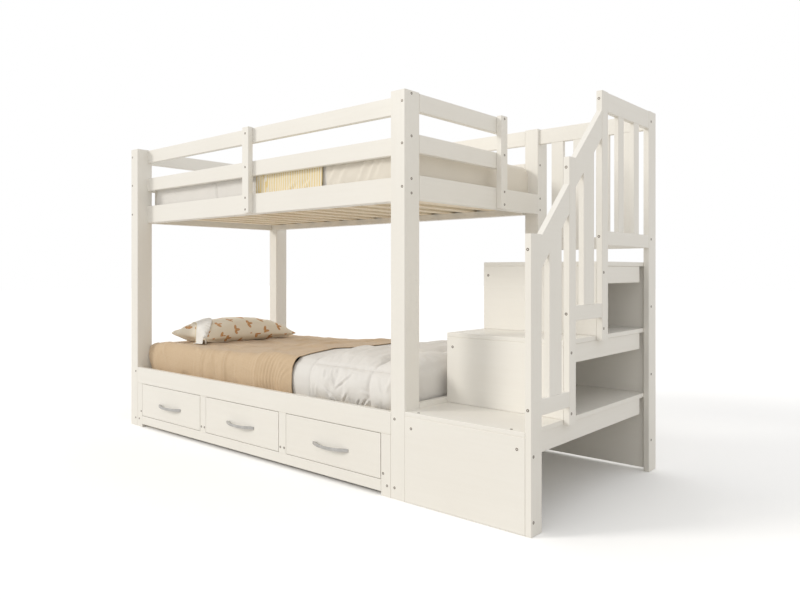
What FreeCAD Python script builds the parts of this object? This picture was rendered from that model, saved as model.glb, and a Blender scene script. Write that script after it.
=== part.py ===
import FreeCAD, Part
import Sketcher
import math
import os
import re

# Bunk bed with drawers below and a storage staircase at its foot end.
# +X runs from the head end to the stairs, -Y is the front with the drawers, +Z is up.
# The origin is on the floor, under the middle of the whole object.

sizes = {
    # bed frame
    "bed_length": 2050,
    "bed_width": 1074,
    "post_width": 72,
    "post_depth": 87,
    "post_height": 1555,
    "rail_thickness": 25,
    "edge_ease": 2,
    "guard_rail_height": 71,
    "side_rail_height": 95,
    "side_rail_bottom": 1142,
    "middle_rail_bottom": 1323,
    "top_rail_drop": 3,
    "guard_upright_width": 50,
    "guard_upright_thickness": 27,
    "guard_upright_foot": 1146,
    "front_upright_from_foot": 1034,
    "foot_guard_length": 586,
    # slats and what carries them
    "ledger_width": 25,
    "upper_ledger_height": 30,
    "lower_ledger_height": 25,
    "slat_thickness": 18,
    "slat_width": 70,
    "slat_gap": 1,
    "slat_count": 14,
    # lower bunk and drawer bay
    "lower_rail_height": 87,
    "lower_front_rail_bottom": 241,
    "lower_end_rail_bottom": 272,
    "lower_slat_top": 297,
    "sill_bottom": 15,
    "sill_top": 60.5,
    "end_stile_width": 51,
    "middle_stile_width": 50,
    "bearer_bottom": 110,
    "bearer_height": 60,
    "bearer_length": 520,
    # drawers
    "drawer_gap": 2.5,
    "drawer_front_thickness": 18,
    "drawer_box_depth": 480,
    "drawer_box_height": 125,
    "drawer_box_bottom": 75,
    "drawer_board": 12,
    "drawer_bottom_thickness": 5,
    "handle_length": 212,
    "handle_reach": 32,
    "handle_thickness": 7,
    "handle_foot": 20,
    "handle_tip": 3,
    "handle_width": 13,
    "handle_height": 141,
    "handle_ease": 2,
    # telescopic runners
    "runner_length": 450,
    "runner_start": 28,
    "runner_height": 45,
    "runner_thickness": 13,
    "runner_sheet": 1.2,
    "runner_lip": 3,
    "runner_track": 6,
    "runner_play": 0.4,
    # staircase
    "stair_width": 542,
    "stair_board": 25,
    "tread_thickness": 17,
    "step_1_height": 339,
    "step_2_height": 620,
    "step_3_height": 906,
    "step_going": 263,
    "stair_panel": 16,
    "back_panel_setback": 15,
    "back_panel_clearance": 12,
    "apron_height": 70,
    "apron_thickness": 18,
    "apron_recess": 3,
    "apron_end_gap": 36,
    "stair_post_1_width": 68,
    "stair_post_1_height": 991,
    "stair_post_2_width": 48,
    "stair_post_2_height": 1274,
    "stair_post_3_width": 52,
    "stair_post_4_width": 76,
    "stair_top": 1560,
    "hand_rail_width": 76,
    "hand_rail_1_drop": 6,
    "hand_rail_1_rise": 193,
    "hand_rail_2_rise": 209,
    "stair_rail_thickness": 22,
    "stair_low_rail_height": 55,
    "stair_low_rail_1_bottom": 387,
    "stair_low_rail_2_bottom": 690,
    "stair_low_rail_3_bottom": 968,
    "stair_top_rail_height": 76,
    "guard_slat_thickness": 20,
    "wide_slat_width": 85,
    "narrow_slat_width": 50,
    "back_slat_width": 60,
    "back_slat_count": 4,
    "back_slat_pitch": 113,
    "back_slat_start": 66,
    # mattresses and bedding
    "mattress_end_gap": 8,
    "mattress_side_gap": 15,
    "lower_mattress_height": 150,
    "upper_mattress_height": 180,
    "mattress_corner": 45,
    "mattress_edge": 18,
    "soft_gap": 0.5,
    "quilt_length": 620,
    "quilt_thickness": 24,
    "quilt_border": 90,
    "quilt_square": 363,
    "quilt_puff": 34,
    "puff_steps": 5,
    "quilt_crown": 8,
    "quilt_overhang": 5,
    "quilt_drop_thickness": 26,
    "quilt_drop_edge": 10,
    "blanket_thickness": 6,
    "blanket_fold": 8,
    "blanket_folds": 6,
    "blanket_gathering": 1.25,
    "blanket_crown": 5,
    "blanket_lift": 18,
    "fold_steps": 4,
    "throw_length": 466,
    "throw_gap": 18,
    "throw_folds": 2,
    "throw_thickness": 3,
    "throw_fold": 4,
    "upper_cover_length": 450,
    "upper_cover_margin": 4,
    "upper_cover_folds": 2,
    "upper_cover_thickness": 5,
    "upper_cover_fold": 3,
    "upper_cover_crown": 8,
    "bedding_hem": 8,
    "pillow_length": 640,
    "pillow_width": 420,
    "pillow_height": 135,
    "pillow_seam": 5,
    "pillow_drawn_in": 14,
    "pillow_steps": 6,
    "pillow_from_head": 20,
    "pillow_off_middle": -30,
}

# Places worked out from the sizes. Each may use the sizes and the places above it.
places = {
    "head_x": "-(bed_length + stair_width) / 2",
    "foot_x": "head_x + bed_length",
    "stair_x": "foot_x + stair_width",
    "front_y": "-(bed_width - handle_reach) / 2",
    "back_y": "front_y + bed_width",
    "inner_front_y": "front_y + post_depth",
    "inner_back_y": "back_y - post_depth",
    "inner_width": "bed_width - 2 * post_depth",
    "inner_length": "bed_length - 2 * post_width",
    "inner_head_x": "head_x + post_width",
    "inner_foot_x": "foot_x - post_width",
    "top_rail_bottom": "post_height - top_rail_drop - guard_rail_height",
    "bay_width": "(inner_length - 2 * end_stile_width - 2 * middle_stile_width) / 3",
    "first_bay_x": "inner_head_x + end_stile_width",
    "bay_pitch": "bay_width + middle_stile_width",
    "sill_height": "sill_top - sill_bottom",
    "upper_slat_bottom": "side_rail_bottom + upper_ledger_height",
    "upper_slat_top": "upper_slat_bottom + slat_thickness",
    "lower_slat_bottom": "lower_slat_top - slat_thickness",
    "mattress_length": "inner_length - 2 * mattress_end_gap",
    "mattress_width": "inner_width - 2 * mattress_side_gap",
    "tread_length": "stair_width - stair_board",
    "upright_x": "foot_x + tread_length",
    "riser_2_y": "front_y + step_going",
    "riser_3_y": "front_y + 2 * step_going",
    "stair_back_y": "inner_back_y + back_panel_setback + stair_panel",
    "stair_post_4_y": "inner_back_y",
    "stair_rail_x": "upright_x + (stair_board - stair_rail_thickness) / 2",
    "guard_slat_x": "upright_x + (stair_board - guard_slat_thickness) / 2",
    "back_guard_y": "inner_back_y + back_panel_setback - (stair_rail_thickness - stair_panel) / 2",
}


def formula(text):
    # Writes a size or place by name as a formula that reads the sheet.
    def spell_out(found):
        word = found.group(0)
        if word in places:
            return "(" + formula(places[word]) + ")"
        if word in sizes:
            return "Sizes." + word
        return word
    return re.sub(r"[a-z][a-z_0-9]*", spell_out, text)


doc = FreeCAD.newDocument("BunkBed")
sheet = doc.addObject("Spreadsheet::Sheet", "Sizes")
for row, (size_name, number) in enumerate(sizes.items(), 1):
    sheet.set("A%d" % row, size_name.replace("_", " "))
    sheet.set("B%d" % row, str(number))
    sheet.setAlias("B%d" % row, size_name)
doc.recompute()

nodes = []
eased = []

plane_across = {"X": "YZ_Plane", "Y": "XZ_Plane", "Z": "XY_Plane"}
across_axes = {"X": "YZ", "Y": "XZ", "Z": "XY"}


def origin_feature(body, role):
    for feature in body.Origin.OriginFeatures:
        if feature.Role == role:
            return feature


def set_place(item, corner):
    for axis, text in zip("xyz", corner):
        item.setExpression("Placement.Base." + axis, formula(text))


def closed_outline(sketch, points):
    # Closed polygon whose corners are held at the given pairs of formulas. It is first drawn
    # as an even ring clear of the axes, and the formulas then move its corners.
    # A corner on an axis of the sketch is held on it, because a zero distance is no size.
    count = len(points)
    ring_radius = 50
    turns = [2 * math.pi * n / count for n in range(count)]
    guess = [FreeCAD.Vector(2 + math.cos(turn), 2 + math.sin(turn), 0) * ring_radius for turn in turns]
    for n in range(count):
        sketch.addGeometry(Part.LineSegment(guess[n], guess[(n + 1) % count]), False)
    for n in range(count):
        sketch.addConstraint(Sketcher.Constraint("Coincident", n, 2, (n + 1) % count, 1))
    for n, (across, up) in enumerate(points):
        for direction, axis, text in (("DistanceX", -2, across), ("DistanceY", -1, up)):
            if text == "0":
                sketch.addConstraint(Sketcher.Constraint("PointOnObject", n, 1, axis))
                continue
            name = "%s_%d" % (direction[-1].lower(), n)
            index = sketch.addConstraint(Sketcher.Constraint(direction, -1, 1, n, 1, ring_radius + n))
            sketch.renameConstraint(index, name)
            sketch.setExpression("Constraints." + name, formula(text))


def profile(label, corner, points, length, along, ease=True):
    # A piece of one section: the outline lies across the axis and is padded along it.
    body = doc.addObject("PartDesign::Body", label)
    body.Label = label
    sketch = body.newObject("Sketcher::SketchObject", label + "_section")
    sketch.AttachmentSupport = (origin_feature(body, plane_across[along]), [""])
    sketch.MapMode = "FlatFace"
    closed_outline(sketch, points)
    pad = body.newObject("PartDesign::Pad", label + "_pad")
    pad.Profile = sketch
    pad.setExpression("Length", formula(length))
    pad.Reversed = along == "Y"
    set_place(body, corner)
    if ease:
        eased.append((body, pad, along))
    return body


def board(label, corner, extent, along, ease=True):
    # A sawn board: a rectangle padded along its grain, with its long edges eased.
    sides = dict(zip("XYZ", extent))
    across, up = [sides[axis] for axis in across_axes[along]]
    outline = [("0", "0"), (across, "0"), (across, up), ("0", up)]
    return profile(label, corner, outline, sides[along], along, ease)


def row_of_boards(label, corner, extent, along, run, span, count):
    # Equal boards, spread along an axis so that the last starts at the span's end.
    body = board(label, corner, extent, along, ease=False)
    pattern = body.newObject("PartDesign::LinearPattern", label + "_row")
    pattern.Originals = [body.Tip]
    pattern.Direction = (origin_feature(body, run + "_Axis"), [""])
    pattern.setExpression("Length", formula(span))
    pattern.setExpression("Occurrences", formula(count))
    body.Tip = pattern
    return body


def group(label, members):
    together = doc.addObject("Part::Compound", label)
    together.Label = label
    together.Links = members
    return together


def keep(*pieces):
    nodes.extend(pieces)


def make_posts():
    size = ("post_width", "post_depth", "post_height")
    for end, x in (("head", "head_x"), ("foot", "inner_foot_x")):
        for side, y in (("front", "front_y"), ("back", "inner_back_y")):
            keep(board("post_%s_%s" % (end, side), (x, y, "0"), size, "Z"))


def make_upper_rails():
    guard_levels = (("top", "top_rail_bottom"), ("middle", "middle_rail_bottom"))
    sides = (("front", "inner_front_y - rail_thickness"), ("back", "inner_back_y"))
    side_rails = []
    end_rails = []
    for side, y in sides:
        guards = []
        for level, z in guard_levels:
            label = "%s_%s_guard_rail" % (side, level)
            size = ("inner_length", "rail_thickness", "guard_rail_height")
            guards.append(board(label, ("inner_head_x", y, z), size, "X"))
        keep(group("%s_guard_rails" % side, guards))
        size = ("inner_length", "rail_thickness", "side_rail_height")
        place = ("inner_head_x", y, "side_rail_bottom")
        side_rails.append(board("%s_side_rail" % side, place, size, "X"))
    keep(group("upper_side_rails", side_rails))
    ends = (("head", "head_x", "inner_width"), ("foot", "foot_x - rail_thickness", "foot_guard_length"))
    for end, x, length in ends:
        guards = []
        for level, z in guard_levels:
            label = "%s_%s_guard_rail" % (end, level)
            size = ("rail_thickness", length, "guard_rail_height")
            guards.append(board(label, (x, "inner_front_y", z), size, "Y"))
        keep(group("%s_guard_rails" % end, guards))
        size = ("rail_thickness", "inner_width", "side_rail_height")
        end_rails.append(board("%s_end_rail" % end, (x, "inner_front_y", "side_rail_bottom"), size, "Y"))
    keep(group("upper_end_rails", end_rails))


def make_guard_uprights():
    height = "post_height - guard_upright_foot"
    long_side = ("guard_upright_width", "guard_upright_thickness", height)
    x = "foot_x - front_upright_from_foot - guard_upright_width / 2"
    front_y = "inner_front_y - rail_thickness - guard_upright_thickness"
    back_y = "inner_back_y + rail_thickness"
    front = board("front_guard_upright", (x, front_y, "guard_upright_foot"), long_side, "Z")
    back = board("back_guard_upright", (x, back_y, "guard_upright_foot"), long_side, "Z")
    end_side = ("guard_upright_thickness", "guard_upright_width", height)
    y = "inner_front_y + foot_guard_length - guard_upright_width"
    foot = board("foot_guard_upright", ("foot_x", y, "guard_upright_foot"), end_side, "Z")
    keep(group("guard_uprights", [front, back, foot]))


def make_upper_deck():
    size = ("inner_length", "ledger_width", "upper_ledger_height")
    for side, y in (("front", "inner_front_y"), ("back", "inner_back_y - ledger_width")):
        place = ("inner_head_x", y, "side_rail_bottom")
        ledgers.append(board("upper_ledger_" + side, place, size, "X", ease=False))
    size = ("slat_width", "inner_width - 2 * slat_gap", "slat_thickness")
    place = ("inner_head_x + slat_gap", "inner_front_y + slat_gap", "upper_slat_bottom")
    span = "inner_length - 2 * slat_gap - slat_width"
    keep(row_of_boards("upper_slats", place, size, "Y", "X", span, "slat_count"))


def make_lower_frame():
    size = ("inner_length", "rail_thickness", "lower_rail_height")
    place = ("inner_head_x", "front_y", "lower_front_rail_bottom")
    keep(board("lower_front_rail", place, size, "X"))
    place = ("inner_head_x", "back_y - rail_thickness", "lower_front_rail_bottom")
    keep(board("lower_back_rail", place, size, "X"))
    size = ("rail_thickness", "inner_width", "lower_rail_height")
    end_rails = []
    for end, x in (("head", "head_x"), ("foot", "foot_x - rail_thickness")):
        place = (x, "inner_front_y", "lower_end_rail_bottom")
        end_rails.append(board("lower_%s_rail" % end, place, size, "Y"))
    keep(group("lower_end_rails", end_rails))
    size = ("inner_length", "ledger_width", "lower_ledger_height")
    z = "lower_slat_bottom - lower_ledger_height"
    sides = (("front", "front_y + rail_thickness"), ("back", "back_y - rail_thickness - ledger_width"))
    for side, y in sides:
        ledgers.append(board("lower_ledger_" + side, ("inner_head_x", y, z), size, "X", ease=False))
    keep(group("slat_ledgers", ledgers))
    size = ("slat_width", "bed_width - 2 * rail_thickness - 2 * slat_gap", "slat_thickness")
    place = ("inner_head_x + slat_gap", "front_y + rail_thickness + slat_gap", "lower_slat_bottom")
    span = "inner_length - 2 * slat_gap - slat_width"
    keep(row_of_boards("lower_slats", place, size, "Y", "X", span, "slat_count"))


def make_drawer_bay():
    sill_x = "inner_head_x + end_stile_width"
    size = ("inner_length - 2 * end_stile_width", "rail_thickness", "sill_height")
    keep(board("drawer_bay_sill", (sill_x, "front_y", "sill_bottom"), size, "X"))
    size = ("end_stile_width", "rail_thickness", "lower_front_rail_bottom")
    ends = []
    for end, x in (("head", "inner_head_x"), ("foot", "inner_foot_x - end_stile_width")):
        ends.append(board("end_stile_" + end, (x, "front_y", "0"), size, "Z"))
    size = ("middle_stile_width", "rail_thickness", "lower_front_rail_bottom - sill_top")
    middles = []
    bearers = []
    bearer_y = "front_y + rail_thickness"
    for number in (1, 2):
        x = "first_bay_x + %d * bay_pitch - middle_stile_width" % number
        middles.append(board("middle_stile_%d" % number, (x, "front_y", "sill_top"), size, "Z"))
        bearer_size = ("middle_stile_width", "bearer_length", "bearer_height")
        bearer = board("middle_bearer_%d" % number, (x, bearer_y, "bearer_bottom"), bearer_size, "Y",
                       ease=False)
        bearers.append(bearer)
    keep(group("drawer_bay_stiles", ends + middles))
    bearer_size = ("end_stile_width", "bearer_length", "bearer_height")
    for end, x in (("head", "inner_head_x"), ("foot", "inner_foot_x - end_stile_width")):
        bearer = board("end_bearer_" + end, (x, bearer_y, "bearer_bottom"), bearer_size, "Y", ease=False)
        bearers.append(bearer)
    keep(group("drawer_bearers", bearers))
    place = ("inner_head_x", "front_y + rail_thickness + bearer_length", "0")
    size = ("inner_length", "rail_thickness", "bearer_bottom + bearer_height")
    keep(board("drawer_bay_back_board", place, size, "X"))


# Sections of the telescopic runners, seen along the drawer, from the bearer's face (0).
# The fixed member wraps the middle one, whose thick flanges hold the balls, and the
# drawer member slides inside those.
lip_x = "runner_thickness - runner_lip"
track_low = "runner_sheet + runner_play"
track_inner_low = "runner_sheet + runner_play + runner_track"
slider_low = "runner_sheet + 2 * runner_play + runner_track"
fixed_section = [
    ("0", "0"),
    (lip_x, "0"),
    (lip_x, "runner_sheet + runner_lip"),
    (lip_x + " - runner_sheet", "runner_sheet + runner_lip"),
    (lip_x + " - runner_sheet", "runner_sheet"),
    ("runner_sheet", "runner_sheet"),
    ("runner_sheet", "runner_height - runner_sheet"),
    (lip_x + " - runner_sheet", "runner_height - runner_sheet"),
    (lip_x + " - runner_sheet", "runner_height - runner_sheet - runner_lip"),
    (lip_x, "runner_height - runner_sheet - runner_lip"),
    (lip_x, "runner_height"),
    ("0", "runner_height"),
]
track_end = lip_x + " - runner_sheet - runner_play"
middle_section = [
    (track_low, track_low),
    (track_end, track_low),
    (track_end, track_inner_low),
    (track_low + " + runner_sheet", track_inner_low),
    (track_low + " + runner_sheet", "runner_height - (" + track_inner_low + ")"),
    (track_end, "runner_height - (" + track_inner_low + ")"),
    (track_end, "runner_height - (" + track_low + ")"),
    (track_low, "runner_height - (" + track_low + ")"),
]
slider_start = track_low + " + runner_sheet + runner_play"
slider_section = [
    (slider_start, slider_low),
    ("runner_thickness", slider_low),
    ("runner_thickness", "runner_height - (" + slider_low + ")"),
    (slider_start, "runner_height - (" + slider_low + ")"),
    (slider_start, "runner_height - (" + slider_low + ") - runner_sheet"),
    ("runner_thickness - runner_sheet", "runner_height - (" + slider_low + ") - runner_sheet"),
    ("runner_thickness - runner_sheet", slider_low + " + runner_sheet"),
    (slider_start, slider_low + " + runner_sheet"),
]


def runner_pair(label, bay_x, section):
    z = "bearer_bottom + (bearer_height - runner_height) / 2"
    y = "front_y + runner_start"
    mirrored = [("runner_thickness - (%s)" % across, up) for across, up in section]
    right_x = bay_x + " + bay_width - runner_thickness"
    left = profile(label + "_left", (bay_x, y, z), section, "runner_length", "Y", ease=False)
    right = profile(label + "_right", (right_x, y, z), mirrored, "runner_length", "Y", ease=False)
    return left, right


def make_handle(label, bay_x):
    # Bow pull: a crescent between two arcs, with blunt tips and flat feet on the drawer front.
    body = doc.addObject("PartDesign::Body", label)
    body.Label = label
    sketch = body.newObject("Sketcher::SketchObject", label + "_plan")
    sketch.AttachmentSupport = (origin_feature(body, "XY_Plane"), [""])
    sketch.MapMode = "FlatFace"
    half = sizes["handle_length"] / 2
    inner = half - sizes["handle_foot"]
    tip = sizes["handle_tip"]
    reach = sizes["handle_reach"]
    depth = reach - sizes["handle_thickness"]
    left_tip = FreeCAD.Vector(-half, -tip, 0)
    right_tip = FreeCAD.Vector(half, -tip, 0)
    bow = FreeCAD.Vector(0, -reach, 0)
    right_heel = FreeCAD.Vector(half, 0, 0)
    left_heel = FreeCAD.Vector(-half, 0, 0)
    right_foot = FreeCAD.Vector(inner, 0, 0)
    left_foot = FreeCAD.Vector(-inner, 0, 0)
    under = FreeCAD.Vector(0, -depth, 0)
    sketch.addGeometry(Part.Arc(left_tip, bow, right_tip), False)
    sketch.addGeometry(Part.LineSegment(right_tip, right_heel), False)
    sketch.addGeometry(Part.LineSegment(right_heel, right_foot), False)
    sketch.addGeometry(Part.Arc(left_foot, under, right_foot), False)
    sketch.addGeometry(Part.LineSegment(left_foot, left_heel), False)
    sketch.addGeometry(Part.LineSegment(left_heel, left_tip), False)
    meetings = ((0, 2, 1, 1), (1, 2, 2, 1), (2, 2, 3, 2), (3, 1, 4, 1), (4, 2, 5, 1), (5, 2, 0, 1))
    for first, end, second, start in meetings:
        sketch.addConstraint(Sketcher.Constraint("Coincident", first, end, second, start))
    for line, end in ((2, 1), (2, 2), (4, 1), (4, 2)):
        sketch.addConstraint(Sketcher.Constraint("PointOnObject", line, end, -1))
    # Radius of an arc from its half chord and its rise.
    outer_rise = "(handle_reach - handle_tip)"
    outer_radius = "(handle_length ^ 2 / 4 + %s ^ 2) / (2 * %s)" % (outer_rise, outer_rise)
    inner_half = "(handle_length / 2 - handle_foot)"
    inner_rise = "(handle_reach - handle_thickness)"
    inner_radius = "(%s ^ 2 + %s ^ 2) / (2 * %s)" % (inner_half, inner_rise, inner_rise)
    bow_radius = (half ** 2 + (reach - tip) ** 2) / (2 * (reach - tip))
    under_radius = (inner ** 2 + depth ** 2) / (2 * depth)
    held = (
        ("right_end", ("DistanceX", -1, 1, 2, 1, half), "handle_length / 2"),
        ("left_end", ("DistanceX", 4, 2, -1, 1, half), "handle_length / 2"),
        ("right_foot", ("DistanceX", -1, 1, 2, 2, inner), inner_half),
        ("left_foot", ("DistanceX", 4, 1, -1, 1, inner), inner_half),
        ("right_tip_x", ("DistanceX", -1, 1, 0, 2, half), "handle_length / 2"),
        ("left_tip_x", ("DistanceX", 0, 1, -1, 1, half), "handle_length / 2"),
        ("right_tip", ("DistanceY", 0, 2, -1, 1, tip), "handle_tip"),
        ("left_tip", ("DistanceY", 0, 1, -1, 1, tip), "handle_tip"),
        ("bow", ("Radius", 0, bow_radius), outer_radius),
        ("under", ("Radius", 3, under_radius), inner_radius),
    )
    for name, constraint, text in held:
        index = sketch.addConstraint(Sketcher.Constraint(*constraint))
        sketch.renameConstraint(index, name)
        sketch.setExpression("Constraints." + name, formula(text))
    pad = body.newObject("PartDesign::Pad", label + "_pad")
    pad.Profile = sketch
    pad.setExpression("Length", formula("handle_width"))
    place = (bay_x + " + bay_width / 2", "front_y", "handle_height - handle_width / 2")
    set_place(body, place)
    return body, pad


def make_drawers():
    fixed = []
    for number in (1, 2, 3):
        bay_x = "first_bay_x + %d * bay_pitch" % (number - 1)
        label = "drawer_%d_" % number
        size = ("bay_width - 2 * drawer_gap", "drawer_front_thickness",
                "lower_front_rail_bottom - sill_top - 2 * drawer_gap")
        place = (bay_x + " + drawer_gap", "front_y", "sill_top + drawer_gap")
        keep(board(label + "front", place, size, "X"))
        box_y = "front_y + drawer_front_thickness"
        side_x = bay_x + " + runner_thickness"
        inner_x = side_x + " + drawer_board"
        inner_length = "bay_width - 2 * runner_thickness - 2 * drawer_board"
        side = ("drawer_board", "drawer_box_depth", "drawer_box_height")
        left = board(label + "left", (side_x, box_y, "drawer_box_bottom"), side, "Y", ease=False)
        right_x = bay_x + " + bay_width - runner_thickness - drawer_board"
        right = board(label + "right", (right_x, box_y, "drawer_box_bottom"), side, "Y", ease=False)
        back_y_text = box_y + " + drawer_box_depth - drawer_board"
        back = board(label + "back", (inner_x, back_y_text, "drawer_box_bottom"),
                     (inner_length, "drawer_board", "drawer_box_height"), "X", ease=False)
        bottom = board(label + "bottom", (inner_x, box_y, "drawer_box_bottom"),
                       (inner_length, "drawer_box_depth - drawer_board", "drawer_bottom_thickness"), "X",
                       ease=False)
        keep(group(label + "box", [left, right, back, bottom]))
        handle, handle_pad = make_handle(label + "handle", bay_x)
        keep(handle)
        handles.append((handle, handle_pad))
        fixed.extend(runner_pair("runner_fixed_%d" % number, bay_x, fixed_section))
        middle = runner_pair("middle_%d" % number, bay_x, middle_section)
        keep(group("runner_middle_%d" % number, list(middle)))
        slider = runner_pair("slider_%d" % number, bay_x, slider_section)
        keep(group("runner_drawer_%d" % number, list(slider)))
    keep(group("runner_fixed_members", fixed))


def make_stair_box():
    place = ("foot_x", "front_y", "0")
    size = ("tread_length", "stair_board", "step_1_height - tread_thickness")
    keep(board("stair_front_panel", place, size, "X"))
    risers = []
    steps = (("1", "front_y"), ("2", "riser_2_y"), ("3", "riser_3_y"))
    aprons = []
    sides = []
    apron_x = "upright_x - apron_recess - apron_thickness"
    for number, riser_y in steps:
        top = "step_%s_height" % number
        below = "0" if number == "1" else "step_%d_height" % (int(number) - 1)
        height = "%s - tread_thickness - (%s)" % (top, below)
        if number != "1":
            size = ("tread_length", "stair_board", height)
            risers.append(board("stair_riser_" + number, ("foot_x", riser_y, below), size, "X"))
        end_y = "stair_back_y" if number == "3" else "stair_back_y - stair_panel"
        size = ("tread_length", "%s - (%s)" % (end_y, riser_y), "tread_thickness")
        keep(board("stair_tread_" + number, ("foot_x", riser_y, top + " - tread_thickness"), size, "X"))
        start_y = riser_y + " + stair_board"
        size = ("apron_thickness", "stair_post_4_y - apron_end_gap - (%s)" % start_y, "apron_height")
        place = (apron_x, start_y, top + " - tread_thickness - apron_height")
        aprons.append(board("stair_apron_" + number, place, size, "Y"))
        size = ("stair_panel", "stair_back_y - stair_panel - (%s)" % start_y, height)
        sides.append(board("stair_side_" + number, ("foot_x", start_y, below), size, "Y", ease=False))
    keep(group("stair_risers", risers))
    keep(group("stair_aprons", aprons))
    keep(group("stair_side_panels", sides))
    size = ("tread_length", "stair_panel", "step_3_height - tread_thickness - back_panel_clearance")
    place = ("foot_x", "stair_back_y - stair_panel", "back_panel_clearance")
    keep(board("stair_back_panel", place, size, "X", ease=False))


def make_stair_uprights():
    under_1 = "step_1_height - tread_thickness"
    under_2 = "step_2_height - tread_thickness"
    uprights = (
        ("1", "front_y", "stair_post_1_width", "0", "stair_post_1_height"),
        ("2", "riser_2_y", "stair_post_2_width", under_1, "stair_post_2_height"),
        ("3", "riser_3_y", "stair_post_3_width", under_2, "stair_top"),
        ("4", "stair_post_4_y", "stair_post_4_width", "0", "stair_top"),
    )
    for number, y, width, foot, top in uprights:
        size = ("stair_board", width, "%s - (%s)" % (top, foot))
        keep(board("stair_upright_" + number, ("upright_x", y, foot), size, "Z"))


def make_stair_guards():
    # Clear spans between the uprights, each with the height of its low rail.
    spans = (
        ("1", "front_y + stair_post_1_width", "riser_2_y", "stair_low_rail_1_bottom"),
        ("2", "riser_2_y + stair_post_2_width", "riser_3_y", "stair_low_rail_2_bottom"),
        ("3", "riser_3_y + stair_post_3_width", "stair_post_4_y", "stair_low_rail_3_bottom"),
    )
    slopes = {
        "1": ("stair_post_1_height - hand_rail_1_drop", "hand_rail_1_rise"),
        "2": ("stair_post_2_height", "hand_rail_2_rise"),
    }
    rails = []
    hand_rails = []
    slats = []
    for number, start, end, low in spans:
        run = "(%s - (%s))" % (end, start)
        size = ("stair_rail_thickness", run, "stair_low_rail_height")
        rails.append(board("stair_low_rail_" + number, ("stair_rail_x", start, low), size, "Y"))
        slat_foot = low + " + stair_low_rail_height"
        if number == "3":
            top = "stair_top - stair_top_rail_height"
            size = ("stair_rail_thickness", run, "stair_top_rail_height")
            rails.append(board("stair_top_rail", ("stair_rail_x", start, top), size, "Y"))
            space = "(%s - 2 * narrow_slat_width) / 3" % run
            for place in (1, 2):
                y = "%s + %d * %s + %d * narrow_slat_width" % (start, place, space, place - 1)
                size = ("guard_slat_thickness", "narrow_slat_width", "%s - (%s)" % (top, slat_foot))
                label = "stair_slat_%d" % (place + 2)
                slats.append(board(label, ("guard_slat_x", y, slat_foot), size, "Z"))
            continue
        top, rise = slopes[number]
        height = "hand_rail_width * sqrt(%s ^ 2 + %s ^ 2) / %s" % (run, rise, run)
        outline = [
            ("0", "0"),
            (run, rise),
            (run, "%s + %s" % (rise, height)),
            ("0", height),
        ]
        place = ("stair_rail_x", start, "%s - %s" % (top, height))
        label = "stair_hand_rail_" + number
        hand_rails.append(profile(label, place, outline, "stair_rail_thickness", "X"))
        rest = "(%s - wide_slat_width) / 2" % run
        under = "%s - %s - (%s) + %s * %s / %s" % (top, height, slat_foot, rise, rest, run)
        outline = [
            ("0", "0"),
            ("wide_slat_width", "0"),
            ("wide_slat_width", "%s + %s * wide_slat_width / %s" % (under, rise, run)),
            ("0", under),
        ]
        place = ("guard_slat_x", "%s + %s" % (start, rest), slat_foot)
        label = "stair_slat_" + number
        slats.append(profile(label, place, outline, "guard_slat_thickness", "X", ease=False))
    size = ("tread_length", "stair_rail_thickness", "guard_rail_height")
    place = ("foot_x", "back_guard_y", "top_rail_bottom")
    rails.append(board("stair_back_top_rail", place, size, "X"))
    size = ("tread_length", "stair_rail_thickness", "stair_low_rail_height")
    place = ("foot_x", "back_guard_y", "stair_low_rail_3_bottom")
    rails.append(board("stair_back_low_rail", place, size, "X"))
    slat_foot = "stair_low_rail_3_bottom + stair_low_rail_height"
    y = "back_guard_y + (stair_rail_thickness - guard_slat_thickness) / 2"
    size = ("back_slat_width", "guard_slat_thickness", "top_rail_bottom - (%s)" % slat_foot)
    span = "(back_slat_count - 1) * back_slat_pitch"
    place = ("foot_x + back_slat_start", y, slat_foot)
    back_slats = row_of_boards("stair_back_slats", place, size, "Z", "X", span, "back_slat_count")
    keep(group("stair_guard_rails", rails))
    keep(group("stair_hand_rails", hand_rails))
    keep(group("stair_guard_slats", slats))
    keep(back_slats)


def make_mattress(label, place, height):
    body = doc.addObject("PartDesign::Body", label)
    body.Label = label
    sketch = body.newObject("Sketcher::SketchObject", label + "_plan")
    sketch.AttachmentSupport = (origin_feature(body, "XY_Plane"), [""])
    sketch.MapMode = "FlatFace"
    closed_outline(sketch, [("0", "0"), ("mattress_length", "0"), ("mattress_length", "mattress_width"),
                            ("0", "mattress_width")])
    pad = body.newObject("PartDesign::Pad", label + "_pad")
    pad.Profile = sketch
    pad.setExpression("Length", formula(height))
    set_place(body, place)
    keep(body)
    return body, pad


def edges_along(shape, along):
    # Names of the straight edges that run along one axis.
    names = []
    for number, edge in enumerate(shape.Edges, 1):
        if edge.Curve.TypeId != "Part::GeomLine":
            continue
        ends = [vertex.Point for vertex in edge.Vertexes]
        step = ends[1] - ends[0]
        if abs(getattr(step, along.lower())) > 0.999 * step.Length:
            names.append("Edge%d" % number)
    return names


def curved_edges(shape):
    return ["Edge%d" % number for number, edge in enumerate(shape.Edges, 1)
            if edge.Curve.TypeId == "Part::GeomCircle"]


def add_fillet(body, base, edges, radius):
    fillet = body.newObject("PartDesign::Fillet", body.Label + "_rounding_%d" % len(body.Group))
    fillet.Base = (base, edges)
    fillet.setExpression("Radius", formula(radius))
    body.Tip = fillet
    return fillet


def add_chamfer(body, base, edges, width):
    chamfer = body.newObject("PartDesign::Chamfer", body.Label + "_easing")
    chamfer.Base = (base, edges)
    chamfer.setExpression("Size", formula(width))
    body.Tip = chamfer
    return chamfer


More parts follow.
